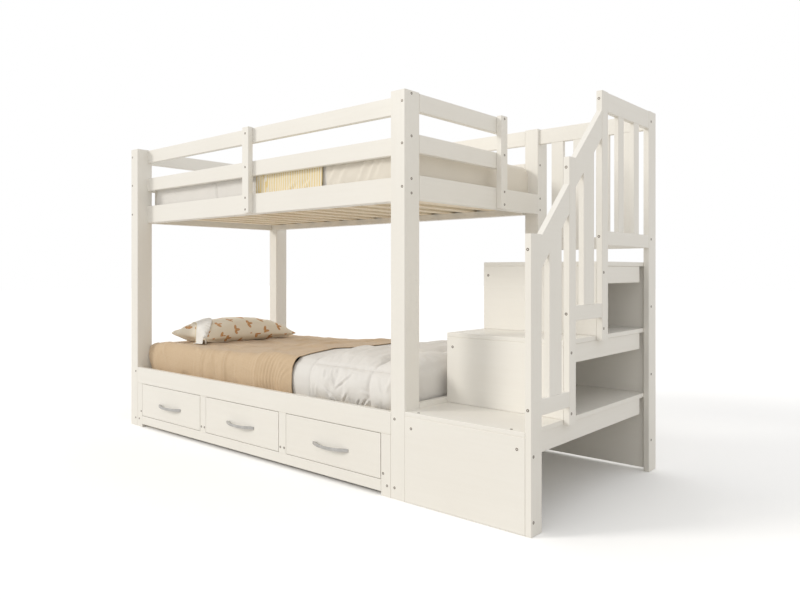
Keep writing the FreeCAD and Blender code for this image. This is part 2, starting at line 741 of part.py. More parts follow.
def rim_edges(shape):
    # Names of the edges round the top and the bottom of an upright block.
    box = shape.BoundBox
    names = []
    for number, edge in enumerate(shape.Edges, 1):
        level = edge.BoundBox
        flat = level.ZLength < 0.01
        if flat and (abs(level.ZMin - box.ZMin) < 0.01 or abs(level.ZMax - box.ZMax) < 0.01):
            names.append("Edge%d" % number)
    return names


def size_of(name):
    return float(sheet.get(name))


def bent_wire(points):
    # Closed wire. Two points make a straight side and three make an arc.
    edges = []
    for side in points:
        if len(side) == 2:
            edges.append(Part.makeLine(*side))
        else:
            edges.append(Part.Arc(*side).toShape())
    return Part.Wire(edges)


def drape_section(x, front, hem_front, back, hem, under, top, corner, thickness, seams, swell, shut=False):
    # One cross section of a cover that lies over a mattress and hangs down its front and back.
    # The seams are the places across the top where it is stitched down between its swells.
    # A shut section is the cover's hanging end, which has no hollow below it.
    def spot(y, z):
        return FreeCAD.Vector(x, y, z)

    turn = corner * (1 - math.sqrt(0.5))
    sides = [(spot(hem_front, hem), spot(front, top - corner))]
    sides.append((spot(front, top - corner), spot(front + turn, top - turn), spot(front + corner, top)))
    stops = [front + corner] + seams + [back - corner]
    for start, end in zip(stops, stops[1:]):
        sides.append((spot(start, top), spot((start + end) / 2, top + swell), spot(end, top)))
    sides.append((spot(back - corner, top), spot(back - turn, top - turn), spot(back, top - corner)))
    sides.append((spot(back, top - corner), spot(back, hem)))
    if shut:
        sides.append((spot(back, hem), spot(hem_front, hem)))
        return bent_wire(sides)
    bend = corner - thickness
    ease = bend * (1 - math.sqrt(0.5))
    inner_front = front + thickness
    inner_back = back - thickness
    sides.append((spot(back, hem), spot(inner_back, hem)))
    sides.append((spot(inner_back, hem), spot(inner_back, under - bend)))
    sides.append((spot(inner_back, under - bend), spot(inner_back - ease, under - ease),
                  spot(inner_back - bend, under)))
    sides.append((spot(inner_back - bend, under), spot(inner_front + bend, under)))
    sides.append((spot(inner_front + bend, under), spot(inner_front + ease, under - ease),
                  spot(inner_front, under - bend)))
    sides.append((spot(inner_front, under - bend), spot(hem_front + thickness, hem)))
    sides.append((spot(hem_front + thickness, hem), spot(hem_front, hem)))
    return bent_wire(sides)


def lofted(sections):
    return Part.makeLoft(sections, True, True)


def soft_piece(label, form):
    piece = doc.addObject("Part::Feature", label)
    piece.Label = label
    piece.Shape = form
    keep(piece)
    return piece


def wave(share):
    # Rises from nothing to one and falls back once in each whole step.
    return (1 - math.cos(2 * math.pi * share)) / 2


def make_blanket(bed):
    # Its folds hang down the front, closer and deeper towards the quilt, whose edge it covers.
    gap = size_of("soft_gap")
    thickness = size_of("blanket_thickness")
    fold = size_of("blanket_fold")
    lift = size_of("blanket_lift")
    length = bed.XLength - size_of("quilt_length") - gap
    folds = int(size_of("blanket_folds"))
    steps = int(size_of("fold_steps"))
    count = folds * steps
    middle = (bed.YMin + bed.YMax) / 2
    sections = []
    for n in range(count + 1):
        share = n / count
        along = 1 - (1 - share) ** size_of("blanket_gathering")
        depth = fold * (0.4 + 0.6 * share) * wave(n / steps)
        rise = lift * max(0, along - 0.8) / 0.2
        front = bed.YMin - gap - thickness - 0.3 * depth
        sections.append(drape_section(
            x=bed.XMin + length * along,
            front=front,
            hem_front=front - depth,
            back=bed.YMax + gap + thickness,
            hem=bed.ZMin + size_of("bedding_hem"),
            under=bed.ZMax + gap,
            top=bed.ZMax + gap + thickness + rise,
            corner=size_of("mattress_edge") + thickness,
            thickness=thickness,
            seams=[middle],
            swell=size_of("blanket_crown"),
        ))
    return soft_piece("tan_blanket", lofted(sections))


def make_quilt(bed):
    # Stitched in squares that swell between their seams. A plain hem runs along the blanket,
    # and its other end hangs down behind the rail at the foot of the bed.
    gap = size_of("soft_gap")
    thickness = size_of("quilt_thickness")
    puff = size_of("quilt_puff")
    square = size_of("quilt_square")
    border = size_of("quilt_border")
    start = bed.XMax - size_of("quilt_length")
    end = bed.XMax + size_of("quilt_overhang")
    steps = int(size_of("puff_steps"))
    drop = size_of("quilt_drop_thickness")
    drop_edge = size_of("quilt_drop_edge")
    corner = size_of("mattress_edge") + thickness
    stations = [(start, 0.0), (start + border, 0.0)]
    row_start = start + border
    while row_start < end:
        for n in range(1, steps + 1):
            x = row_start + square * n / steps
            if x < end:
                stations.append((x, math.sin(math.pi * n / steps) ** 0.6))
        row_start += square
    stations.append((end, stations[-1][1]))
    front = bed.YMin - gap - thickness
    back = bed.YMax + gap + thickness
    squares_across = int((bed.YLength - corner - drop_edge) / square)
    seams = [bed.YMin + square * n for n in range(1, squares_across + 1)]
    top = bed.ZMax + gap + thickness
    sections = []
    for x, share in stations:
        sections.append(drape_section(
            x=x,
            front=front - puff * share / 2,
            hem_front=front - puff * share / 4,
            back=back,
            hem=bed.ZMin + size_of("bedding_hem"),
            under=bed.ZMax + gap,
            top=top + puff * share / 2,
            corner=corner,
            thickness=thickness,
            seams=seams,
            swell=size_of("quilt_crown") + puff * share / 2,
        ))
    flap = []
    for out, inset in ((0, 0), (drop - drop_edge, 0), (drop, drop_edge)):
        flap.append(drape_section(
            x=end + out,
            front=bed.YMin + inset,
            hem_front=bed.YMin + inset,
            back=bed.YMax - inset,
            hem=bed.ZMin + size_of("bedding_hem"),
            under=bed.ZMax,
            top=top - inset,
            corner=corner,
            thickness=thickness,
            seams=seams,
            swell=size_of("quilt_crown"),
            shut=True,
        ))
    return soft_piece("white_quilt", Part.makeCompound([lofted(sections), lofted(flap)]))


def make_upper_cover(label, bed, start, length, folds, thickness, fold):
    gap = size_of("soft_gap")
    steps = int(size_of("fold_steps"))
    count = folds * steps
    sections = []
    for n in range(count + 1):
        front = bed.YMin - gap - thickness - fold * wave(n / steps)
        sections.append(drape_section(
            x=start + length * n / count,
            front=front,
            hem_front=front,
            back=bed.YMax + gap + thickness,
            hem=bed.ZMin + size_of("bedding_hem"),
            under=bed.ZMax + gap,
            top=bed.ZMax + gap + thickness,
            corner=size_of("mattress_edge") + thickness,
            thickness=thickness,
            seams=[(bed.YMin + bed.YMax) / 2],
            swell=size_of("upper_cover_crown"),
        ))
    return soft_piece(label, lofted(sections))


def make_pillow(bed, blanket):
    # Lies across the bed. It is full in the middle, its corners stand out as ears, its sides
    # are drawn in between them, and it is flat where it rests.
    length = size_of("pillow_length")
    width = size_of("pillow_width")
    height = size_of("pillow_height")
    seam = size_of("pillow_seam")
    gap = size_of("soft_gap")
    middle_x = bed.XMin + size_of("pillow_from_head") + width / 2
    middle_y = (bed.YMin + bed.YMax) / 2 + size_of("pillow_off_middle")
    floor = blanket.BoundBox.ZMax + gap
    count = int(size_of("pillow_steps"))
    sections = []
    for n in range(count + 1):
        share = math.sin(math.pi * (n / count - 0.5))
        full = math.sqrt(max(0, 1 - abs(share) ** 3))
        half = width / 2 - size_of("pillow_drawn_in") * (1 - share ** 2)
        y = middle_y + share * length / 2
        edge = floor + height * (0.14 + 0.2 * full)
        top = edge + seam + height * (0.02 + 0.6 * full)
        low = floor + height * 0.1 * (1 - full)
        flat = half * 0.55 * full + half * 0.2

        def spot(x, z):
            return FreeCAD.Vector(middle_x + x, y, z)

        sections.append(bent_wire([
            (spot(-half, edge + seam), spot(0, top), spot(half, edge + seam)),
            (spot(half, edge + seam), spot(half, edge)),
            (spot(half, edge), spot(flat, low)),
            (spot(flat, low), spot(-flat, low)),
            (spot(-flat, low), spot(-half, edge)),
            (spot(-half, edge), spot(-half, edge + seam)),
        ]))
    form = lofted(sections)
    for attempt in range(4):
        form.translate(FreeCAD.Vector(0, 0, gap - form.distToShape(blanket)[0]))
    return soft_piece("pillow", form)


handles = []
ledgers = []
make_posts()
make_upper_rails()
make_guard_uprights()
make_upper_deck()
make_lower_frame()
make_drawer_bay()
make_drawers()
make_stair_box()
make_stair_uprights()
make_stair_guards()
mattress_x = "inner_head_x + mattress_end_gap"
mattress_y = "inner_front_y + mattress_side_gap"
lower_bed, lower_bed_pad = make_mattress(
    "lower_mattress", (mattress_x, mattress_y, "lower_slat_top + soft_gap"), "lower_mattress_height")
upper_bed, upper_bed_pad = make_mattress(
    "upper_mattress", (mattress_x, mattress_y, "upper_slat_top + soft_gap"), "upper_mattress_height")
doc.recompute()

for body, pad, along in eased:
    add_chamfer(body, pad, edges_along(pad.Shape, along), "edge_ease")
for body, pad in handles:
    add_chamfer(body, pad, curved_edges(pad.Shape), "handle_ease")
rounded = []
for body, pad in ((lower_bed, lower_bed_pad), (upper_bed, upper_bed_pad)):
    rounded.append((body, add_fillet(body, pad, edges_along(pad.Shape, "Z"), "mattress_corner")))
doc.recompute()
for body, base in rounded:
    add_chamfer(body, base, rim_edges(base.Shape), "mattress_edge")
doc.recompute()

lower_box = lower_bed.Shape.BoundBox
upper_box = upper_bed.Shape.BoundBox
blanket = make_blanket(lower_box)
make_quilt(lower_box)
make_pillow(lower_box, blanket.Shape)
cover_end = upper_box.XMax - size_of("upper_cover_margin")
cover_start = cover_end - size_of("upper_cover_length")
make_upper_cover("upper_cover", upper_box, cover_start, size_of("upper_cover_length"),
                 folds=int(size_of("upper_cover_folds")), thickness=size_of("upper_cover_thickness"),
                 fold=size_of("upper_cover_fold"))
throw_start = cover_start - size_of("throw_gap") - size_of("throw_length")
make_upper_cover("striped_throw", upper_box, throw_start, size_of("throw_length"),
                 folds=int(size_of("throw_folds")), thickness=size_of("throw_thickness"),
                 fold=size_of("throw_fold"))
doc.recompute()

for item in doc.Objects:
    if "Invalid" in item.State or "Error" in item.State:
        raise RuntimeError(item.Label + " could not be built")

os.makedirs("parts", exist_ok=True)
for piece in nodes:
    shape = piece.Shape
    if shape.isNull() or not shape.isValid():
        raise RuntimeError(piece.Label + " has no valid shape")
    shape.exportStep(os.path.join("parts", piece.Label + ".step"))
print("pieces:", len(nodes))
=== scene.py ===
import math

import bmesh
import bpy
import numpy as np
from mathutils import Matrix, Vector
from mathutils.bvhtree import BVHTree


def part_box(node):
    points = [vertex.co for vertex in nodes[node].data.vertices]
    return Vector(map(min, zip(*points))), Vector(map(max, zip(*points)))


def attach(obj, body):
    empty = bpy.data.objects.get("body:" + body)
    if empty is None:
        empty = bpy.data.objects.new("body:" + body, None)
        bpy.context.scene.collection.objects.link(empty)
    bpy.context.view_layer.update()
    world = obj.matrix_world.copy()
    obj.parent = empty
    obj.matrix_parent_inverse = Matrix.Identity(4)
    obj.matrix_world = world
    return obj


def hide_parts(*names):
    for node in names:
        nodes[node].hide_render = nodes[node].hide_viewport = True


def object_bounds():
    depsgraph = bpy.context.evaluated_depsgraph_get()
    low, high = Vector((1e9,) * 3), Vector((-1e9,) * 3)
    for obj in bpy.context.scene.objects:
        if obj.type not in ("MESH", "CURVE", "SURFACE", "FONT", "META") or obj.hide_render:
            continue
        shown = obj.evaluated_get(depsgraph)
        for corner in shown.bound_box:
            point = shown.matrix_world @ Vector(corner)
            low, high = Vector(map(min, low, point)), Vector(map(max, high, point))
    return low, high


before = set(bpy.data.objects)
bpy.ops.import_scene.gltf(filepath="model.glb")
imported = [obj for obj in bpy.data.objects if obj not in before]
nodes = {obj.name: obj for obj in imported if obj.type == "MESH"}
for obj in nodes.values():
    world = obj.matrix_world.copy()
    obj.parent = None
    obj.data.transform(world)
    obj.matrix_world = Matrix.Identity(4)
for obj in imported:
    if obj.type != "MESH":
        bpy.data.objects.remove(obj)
cadLow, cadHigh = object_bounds()  # the CAD box, before anything is dressed
scene = bpy.context.scene
scene.view_settings.view_transform = "Standard"
print("frame loaded:", len(nodes), "nodes")


def addObject(name, data):
    made = bpy.data.objects.new(name, data)
    scene.collection.objects.link(made)
    return made


# helpers for node trees

def newTree(owner):
    owner.use_nodes = True
    owner.node_tree.nodes.clear()
    return owner.node_tree


def newMaterial(name):
    material = bpy.data.materials.new(name)
    return material, newTree(material)


def feed(tree, slot, value):
    # a socket takes the output of another node, or else a plain number, vector or colour
    if isinstance(value, bpy.types.NodeSocket):
        tree.links.new(value, slot)
    elif slot.type == "RGBA" and len(value) == 3:
        slot.default_value = (*value, 1)
    else:
        slot.default_value = value


def addNode(tree, kind, inputs=None, **settings):
    node = tree.nodes.new(kind)
    for name, value in settings.items():
        setattr(node, name, value)
    for label, value in (inputs or {}).items():
        feed(tree, node.inputs[label], value)
    return node


def addMath(tree, operation, *values, clamp=False):
    node = addNode(tree, "ShaderNodeMath", dict(enumerate(values)), operation=operation, use_clamp=clamp)
    return node.outputs[0]


def plus(tree, first, second, clamp=False):
    return addMath(tree, "ADD", first, second, clamp=clamp)


def times(tree, first, second):
    return addMath(tree, "MULTIPLY", first, second)


def scaled(tree, vector, by):
    return addNode(tree, "ShaderNodeVectorMath", {0: vector, 1: by}, operation="MULTIPLY").outputs["Vector"]


def split(tree, vector):
    return addNode(tree, "ShaderNodeSeparateXYZ", {0: vector}).outputs


def addNoise(tree, vector, scale, detail=3, roughness=0.5):
    inputs = {"Vector": vector, "Scale": scale, "Detail": detail, "Roughness": roughness}
    return addNode(tree, "ShaderNodeTexNoise", inputs).outputs[0]


def addRange(tree, value, fromLow, fromHigh, toLow, toHigh):
    inputs = {"Value": value, "From Min": fromLow, "From Max": fromHigh, "To Min": toLow, "To Max": toHigh}
    return addNode(tree, "ShaderNodeMapRange", inputs).outputs[0]


def addMix(tree, factor, first, second):
    # a mix node of colours takes them at its sockets 6 and 7 and gives the result at 2
    return addNode(tree, "ShaderNodeMix", {0: factor, 6: first, 7: second}, data_type="RGBA").outputs[2]


# camera, floor and light

cameraValues = {
    "place": (2.461, -2.511, 0.869),
    "turn": 41.02,          # degrees from straight at the front
    "lens": 31.39,
    "sensor": 36,
    "shift": -0.0364,       # the photo's horizon lies above its middle
    "farthest": 200,
}
lightValues = {
    "ambient": 0.80,
    "ambientTint": (1.0, 0.995, 0.985),
    "sunStrength": 1.20,
    "sunTint": (1.0, 0.972, 0.918),
    "sunFrom": (-0.62, -0.67, 0.41),
    "sunAngle": 16,
    "floorSeen": 1.16,      # what the camera and reflections see
    "floorColour": (0.70, 0.6755, 0.63),    # what the floor throws back on the bed
    "floorSize": 60,
    "floorGap": 0.0005,     # below the bed's feet
}


def makeCamera(values):
    data = bpy.data.cameras.new("photoCamera")
    data.lens = values["lens"]
    data.sensor_width = values["sensor"]
    data.shift_y = values["shift"]
    data.clip_end = values["farthest"]
    camera = addObject("photoCamera", data)
    camera.location = values["place"]
    camera.rotation_euler = (math.radians(90), 0, math.radians(values["turn"]))
    scene.camera = camera


def seenRays(tree):
    # one for camera, mirror and glass rays, nought for the light that falls on the bed
    rays = tree.nodes.new("ShaderNodeLightPath").outputs
    seen = addMath(tree, "MAXIMUM", rays["Is Camera Ray"], rays["Is Glossy Ray"])
    return addMath(tree, "MAXIMUM", seen, rays["Is Transmission Ray"])


def makeLight(values):
    scene.world = bpy.data.worlds.new("studio")
    tree = newTree(scene.world)
    dim = addNode(tree, "ShaderNodeBackground", {
        "Color": values["ambientTint"], "Strength": values["ambient"]})
    white = addNode(tree, "ShaderNodeBackground", {"Color": (1, 1, 1)})
    mix = addNode(tree, "ShaderNodeMixShader", {0: seenRays(tree), 1: dim.outputs[0], 2: white.outputs[0]})
    addNode(tree, "ShaderNodeOutputWorld", {"Surface": mix.outputs[0]})
    data = bpy.data.lights.new("windowLight", "SUN")
    data.energy = values["sunStrength"]
    data.color = values["sunTint"]
    data.angle = math.radians(values["sunAngle"])
    sun = addObject("windowLight", data)
    sun.rotation_euler = Vector(values["sunFrom"]).to_track_quat("Z", "Y").to_euler()


def makeFloor(values):
    material, tree = newMaterial("paleFloor")
    colour = addMix(tree, seenRays(tree), values["floorColour"], (values["floorSeen"],) * 3)
    diffuse = addNode(tree, "ShaderNodeBsdfDiffuse", {"Color": colour})
    addNode(tree, "ShaderNodeOutputMaterial", {"Surface": diffuse.outputs[0]})
    half = values["floorSize"] / 2
    mesh = bpy.data.meshes.new("studioFloor")
    corners = [(-half, -half, 0), (half, -half, 0), (half, half, 0), (-half, half, 0)]
    mesh.from_pydata(corners, [], [(0, 1, 2, 3)])
    mesh.materials.append(material)
    floor = addObject("studioFloor", mesh)
    floor.location.z = cadLow.z - values["floorGap"]


makeCamera(cameraValues)
makeLight(lightValues)
makeFloor(lightValues)
print("camera, light and floor made")


# shader groups, each an effect that several finishes use

finishSockets = {"Color": "Color", "Roughness": "Float", "Height": "Float"}


def newGroup(name, inputs, outputs):
    group = bpy.data.node_groups.new(name, "ShaderNodeTree")
    for inOut, sockets in (("INPUT", inputs), ("OUTPUT", outputs)):
        for label, kind in sockets.items():
            group.interface.new_socket(name=label, in_out=inOut, socket_type="NodeSocket" + kind)
    return group, group.nodes.new("NodeGroupInput").outputs, group.nodes.new("NodeGroupOutput").inputs


brushedValues = {
    "knotScale": 9,
    "speckScale": 900,
    "speckHeight": 0.25,
    "lineShade": 0.35,      # how far each takes the paint towards its hollow colour
    "cloudShade": 0.45,
    "knotShade": 0.20,
    "rough": (0.38, 0.50),
}


def makeBrushedGroup(values):
    # rolled paint over planed wood: faint lines along the board and a slow cloudiness
    group, given, out = newGroup("brushedPaint", {
        "Place": "Vector", "Stretch": "Vector", "Paint": "Color", "Hollow Paint": "Color",
        "Line Scale": "Float", "Cloud Scale": "Float"}, finishSockets)
    alongBoard = scaled(group, given["Place"], given["Stretch"])
    lines = addNoise(group, alongBoard, given["Line Scale"], 4, 0.6)
    knots = addNoise(group, alongBoard, values["knotScale"], 2)
    clouds = addNoise(group, given["Place"], given["Cloud Scale"], 2)
    specks = addNoise(group, given["Place"], values["speckScale"], 1)
    lineShade = addRange(group, lines, 0.3, 0.7, 0, values["lineShade"])
    cloudShade = addRange(group, clouds, 0.3, 0.7, 0, values["cloudShade"])
    knotShade = addRange(group, knots, 0.35, 0.65, 0, values["knotShade"])
    shade = plus(group, plus(group, lineShade, cloudShade), knotShade, clamp=True)
    feed(group, out["Color"], addMix(group, shade, given["Paint"], given["Hollow Paint"]))
    feed(group, out["Roughness"], addRange(group, lines, 0.3, 0.7, *values["rough"]))
    feed(group, out["Height"], plus(group, lines, times(group, specks, values["speckHeight"])))
    return group


grainValues = {
    "bands": 5,             # growth lines between the noise's least and greatest value
    "sharpness": 2.2,
    "bandShade": 0.6,
    "bandHeight": 0.4,
    "poreScale": 420,
    "poreShade": 0.3,
    "rough": (0.50, 0.66),
}


def makeGrainGroup(values):
    # bare softwood: growth lines bent a little by noise, with fine pores along them
    group, given, out = newGroup("pineGrain", {
        "Place": "Vector", "Stretch": "Vector", "Early Wood": "Color", "Late Wood": "Color",
        "Ring Scale": "Float"}, finishSockets)
    alongBoard = scaled(group, given["Place"], given["Stretch"])
    rings = addNoise(group, alongBoard, given["Ring Scale"], 2, 0.45)
    banded = addMath(group, "FRACT", times(group, rings, values["bands"]))
    soft = addMath(group, "POWER", banded, values["sharpness"])
    pores = addNoise(group, alongBoard, values["poreScale"], 2, 0.6)
    poreShade = addRange(group, pores, 0.35, 0.7, 0, values["poreShade"])
    shade = plus(group, times(group, soft, values["bandShade"]), poreShade, clamp=True)
    feed(group, out["Color"], addMix(group, shade, given["Early Wood"], given["Late Wood"]))
    feed(group, out["Roughness"], addRange(group, pores, 0.3, 0.7, *values["rough"]))
    feed(group, out["Height"], plus(group, pores, times(group, soft, values["bandHeight"])))
    return group


weaveValues = {
    "slubScales": (30, 700),        # along a thread and across it
    "mottleScale": 5,
    "threadShade": 0.25,
    "threadHeight": 0.5,
    "rough": (0.82, 0.95),
}


def makeWeaveGroup(values):
    # plain weave: threads both ways, uneven in thickness, over the cloth's own flat measure
    group, given, out = newGroup("plainWeave", {
        "Flat": "Vector", "Cloth": "Color", "Thread Shade": "Color", "Threads": "Float",
        "Slub": "Float", "Mottle": "Float"}, finishSockets)
    flat = split(group, given["Flat"])
    turns = times(group, given["Threads"], math.pi)
    warp = addMath(group, "SINE", times(group, flat[0], turns))
    weft = addMath(group, "SINE", times(group, flat[1], turns))
    weave = times(group, warp, weft)
    slow, quick = values["slubScales"]
    alongWarp = addNoise(group, scaled(group, given["Flat"], (slow, quick, 1)), 1, 2)
    alongWeft = addNoise(group, scaled(group, given["Flat"], (quick, slow, 1)), 1, 2)
    slubs = times(group, plus(group, alongWarp, alongWeft), given["Slub"])
    mottle = times(group, addNoise(group, given["Flat"], values["mottleScale"]), given["Mottle"])
    threads = addRange(group, weave, -1, 1, 0, values["threadShade"])
    shade = addRange(group, plus(group, plus(group, threads, slubs), mottle), 0.2, 1.1, 0, 1)
    feed(group, out["Color"], addMix(group, shade, given["Cloth"], given["Thread Shade"]))
    feed(group, out["Roughness"], addRange(group, slubs, 0.2, 0.8, *values["rough"]))
    feed(group, out["Height"], plus(group, times(group, weave, values["threadHeight"]), slubs))
    return group


sprigValues = {
    "leafTurns": (-68, 0, 68),      # degrees
    "root": (0, -0.1, 0),           # this and the next two as shares of the pitch
    "leafMiddle": 0.08,
    "rowShift": 0.38,
}


def makeSprigGroup(values):
    # small three-leaved sprigs in offset rows, printed on the cloth's flat measure
    group, given, out = newGroup("leafPrint", {
        "Flat": "Vector", "Pitch": "Float", "Leaf Length": "Float", "Leaf Width": "Float",
    }, {"Mask": "Float", "Vein": "Float"})
    flat = split(group, given["Flat"])
    across = addMath(group, "DIVIDE", flat[0], given["Pitch"])
    up = addMath(group, "DIVIDE", flat[1], given["Pitch"])
    across = plus(group, across, times(group, addMath(group, "FLOOR", up), values["rowShift"]))
    cell = addNode(group, "ShaderNodeCombineXYZ", {
        0: addMath(group, "SUBTRACT", addMath(group, "FRACT", across), 0.5),
        1: addMath(group, "SUBTRACT", addMath(group, "FRACT", up), 0.5),
    }).outputs[0]
    masks = []
    veins = []
    for angle in values["leafTurns"]:
        turned = addNode(group, "ShaderNodeVectorRotate", {
            "Vector": cell, "Angle": math.radians(angle), "Center": values["root"]}, rotation_type="Z_AXIS")
        leaf = split(group, turned.outputs[0])
        alongLeaf = addMath(group, "SUBTRACT", leaf[1], values["leafMiddle"])
        alongLeaf = addMath(group, "DIVIDE", alongLeaf, given["Leaf Length"])
        acrossLeaf = addMath(group, "DIVIDE", leaf[0], given["Leaf Width"])
        reach = plus(group, times(group, alongLeaf, alongLeaf), times(group, acrossLeaf, acrossLeaf))
        mask = addRange(group, reach, 0.75, 1.1, 1, 0)
        line = addRange(group, addMath(group, "ABSOLUTE", acrossLeaf), 0.1, 0.3, 1, 0)
        masks.append(mask)
        veins.append(times(group, line, mask))
    for label, parts in (("Mask", masks), ("Vein", veins)):
        joined = addMath(group, "MAXIMUM", addMath(group, "MAXIMUM", parts[0], parts[1]), parts[2])
        feed(group, out[label], joined)
    return group


groups = {
    "brushed": makeBrushedGroup(brushedValues),
    "grain": makeGrainGroup(grainValues),
    "weave": makeWeaveGroup(weaveValues),
    "sprigs": makeSprigGroup(sprigValues),
}


def placeGroup(tree, name, inputs):
    return addNode(tree, "ShaderNodeGroup", inputs, node_tree=groups[name]).outputs


def addShader(tree, plain, colour, roughness, height, bump, bumpDepth):
    # plain values go to the shader's own sockets, and the rest changes over the surface
    relief = addNode(tree, "ShaderNodeBump", {"Height": height, "Strength": bump, "Distance": bumpDepth})
    shader = addNode(tree, "ShaderNodeBsdfPrincipled", {
        **plain, "Base Color": colour, "Roughness": roughness, "Normal": relief.outputs[0]})
    addNode(tree, "ShaderNodeOutputMaterial", {"Surface": shader.outputs[0]})


woodValues = {
    "alongGrain": 0.05,     # how much slower the grain changes along a board
    "warmWhitePaint": {
        "pattern": "brushed",
        "inputs": {
            "Paint": (0.885, 0.862, 0.812),
            "Hollow Paint": (0.850, 0.822, 0.765),
            "Line Scale": 70,
            "Cloud Scale": 2.6,
        },
        "gloss": 0.35,
        "bump": 0.10,
        "bumpDepth": 0.001,
    },
    "planedPine": {
        "pattern": "grain",
        "inputs": {
            "Early Wood": (0.93, 0.835, 0.67),
            "Late Wood": (0.83, 0.69, 0.50),
            "Ring Scale": 26,
        },
        "gloss": 0.25,
        "bump": 0.25,
        "bumpDepth": 0.0006,
    },
}


def woodMaterial(name, axis):
    # axis is the one that the boards lie along
    values = woodValues[name]
    material, tree = newMaterial(name + axis)
    made = placeGroup(tree, values["pattern"], {
        "Place": tree.nodes.new("ShaderNodeTexCoord").outputs["Object"],
        "Stretch": tuple(woodValues["alongGrain"] if letter == axis else 1 for letter in "XYZ"),
        **values["inputs"]})
    addShader(tree, {"Specular IOR Level": values["gloss"]}, made["Color"], made["Roughness"],
              made["Height"], values["bump"], values["bumpDepth"])
    return material


metalValues = {
    "handle": {"colour": (0.50, 0.49, 0.475), "rough": 0.34, "brush": 260},
    "runner": {"colour": (0.62, 0.63, 0.65), "rough": 0.30, "brush": 120},
    "bolt": {"colour": (0.23, 0.20, 0.17), "rough": 0.42, "brush": 400},
}
metalWear = {
    "streaks": (0.15, 1, 1),
    "cloudScale": 30,
    "dull": 0.8,            # of the colour, where it is darkest
    "roughSpread": (0.8, 1.3),
    "bump": 0.12,
    "bumpDepth": 0.0003,
}


def metalMaterial(name, values):
    material, tree = newMaterial(name)
    place = tree.nodes.new("ShaderNodeTexCoord").outputs["Object"]
    fine = addNoise(tree, scaled(tree, place, metalWear["streaks"]), values["brush"], 4)
    broad = addNoise(tree, place, metalWear["cloudScale"], 2)
    dark = tuple(part * metalWear["dull"] for part in values["colour"])
    colour = addMix(tree, addRange(tree, broad, 0.3, 0.7, 0, 1), values["colour"], dark)
    least, most = (values["rough"] * share for share in metalWear["roughSpread"])
    addShader(tree, {"Metallic": 1.0}, colour, addRange(tree, fine, 0.3, 0.7, least, most), fine,
              metalWear["bump"], metalWear["bumpDepth"])
    return material


clothDefaults = {
    "sheen": 0.15,
    "bump": 0.3,
    "bumpDepth": 0.0008,
    "plain": {"Specular IOR Level": 0.2, "Sheen Roughness": 0.5},
}


def clothMaterial(name, values, pattern=None):
    # pattern, if there is one, is a function that turns the plain colour into the dyed one
    values = {**clothDefaults, **values}
    material, tree = newMaterial(name)
    flat = addNode(tree, "ShaderNodeUVMap", uv_map="flat").outputs[0]
    made = placeGroup(tree, "weave", {
        "Flat": flat, "Cloth": values["colour"], "Thread Shade": values["shade"],
        "Threads": values["threads"], "Slub": values["slub"], "Mottle": values["mottle"]})
    colour = pattern(tree, flat, made["Color"]) if pattern else made["Color"]
    addShader(tree, {**values["plain"], "Sheen Weight": values["sheen"]}, colour, made["Roughness"],
              made["Height"], values["bump"], values["bumpDepth"])
    return material


# carried-over CAD nodes

def numbered(pattern, count=3):
    return [pattern.format(n + 1) for n in range(count)]


# by finish, and by the axis that the boards of a node lie along
boardNodes = {
    "warmWhitePaint": {
        "X": ["front_guard_rails", "back_guard_rails", "upper_side_rails", "lower_front_rail",
              "lower_back_rail", "drawer_bay_sill", *numbered("drawer_{}_front"), "stair_front_panel",
              "stair_risers", *numbered("stair_tread_{}"), "stair_back_panel", "slat_ledgers"],
        "Y": ["head_guard_rails", "foot_guard_rails", "upper_end_rails", "lower_end_rails", "stair_aprons",
              "stair_side_panels", "stair_guard_rails", "stair_hand_rails"],
        "Z": ["post_head_front", "post_head_back", "post_foot_front", "post_foot_back", "guard_uprights",
              "drawer_bay_stiles", *numbered("stair_upright_{}", 4), "stair_guard_slats",
              "stair_back_slats"],
    },
    "planedPine": {
        "X": ["drawer_bay_back_board"],
        "Y": ["upper_slats", "lower_slats", "drawer_bearers", *numbered("drawer_{}_box")],
    },
}
metalNodes = {
    "handle": numbered("drawer_{}_handle"),
    "runner": ["runner_fixed_members", *numbered("runner_middle_{}"), *numbered("runner_drawer_{}")],
}


def finishNodes(names, material):
    for name in names:
        node = nodes[name]
        node.data.materials.clear()
        node.data.materials.append(material)


for finish, boards in boardNodes.items():
    for axis, names in boards.items():
        finishNodes(names, woodMaterial(finish, axis))
metals = {name: metalMaterial(name + "Metal", values) for name, values in metalValues.items()}
for name, members in metalNodes.items():
    finishNodes(members, metals[name])
print("boards and metal finished")


# helpers for cloth

def rampUp(value, low, high):
    share = np.clip((value - low) / (high - low), 0, 1)
    return share * share * (3 - 2 * share)


def cloudNoise(x, y, seed):
    # smooth noise between -1 and 1 over a plane, the same on every run
    size = 64
    table = np.random.RandomState(seed).uniform(0, 2 * math.pi, (size, size))
    cellX = np.floor(x).astype(int)
    cellY = np.floor(y).astype(int)
    restX = x - cellX
    restY = y - cellY
    blendX = restX ** 3 * (restX * (restX * 6 - 15) + 10)
    blendY = restY ** 3 * (restY * (restY * 6 - 15) + 10)

    def corner(stepX, stepY):
        angle = table[(cellX + stepX) % size, (cellY + stepY) % size]
        return np.cos(angle) * (restX - stepX) + np.sin(angle) * (restY - stepY)

    low = corner(0, 0) * (1 - blendX) + corner(1, 0) * blendX
    high = corner(0, 1) * (1 - blendX) + corner(1, 1) * blendX
    return 1.5 * (low * (1 - blendY) + high * blendY)


def layeredNoise(x, y, seed, layers):
    # each layer is twice as fine as the one before, and half as strong
    return sum(0.5 ** n * cloudNoise(x * 2 ** n, y * 2 ** n, seed + n) for n in range(layers))


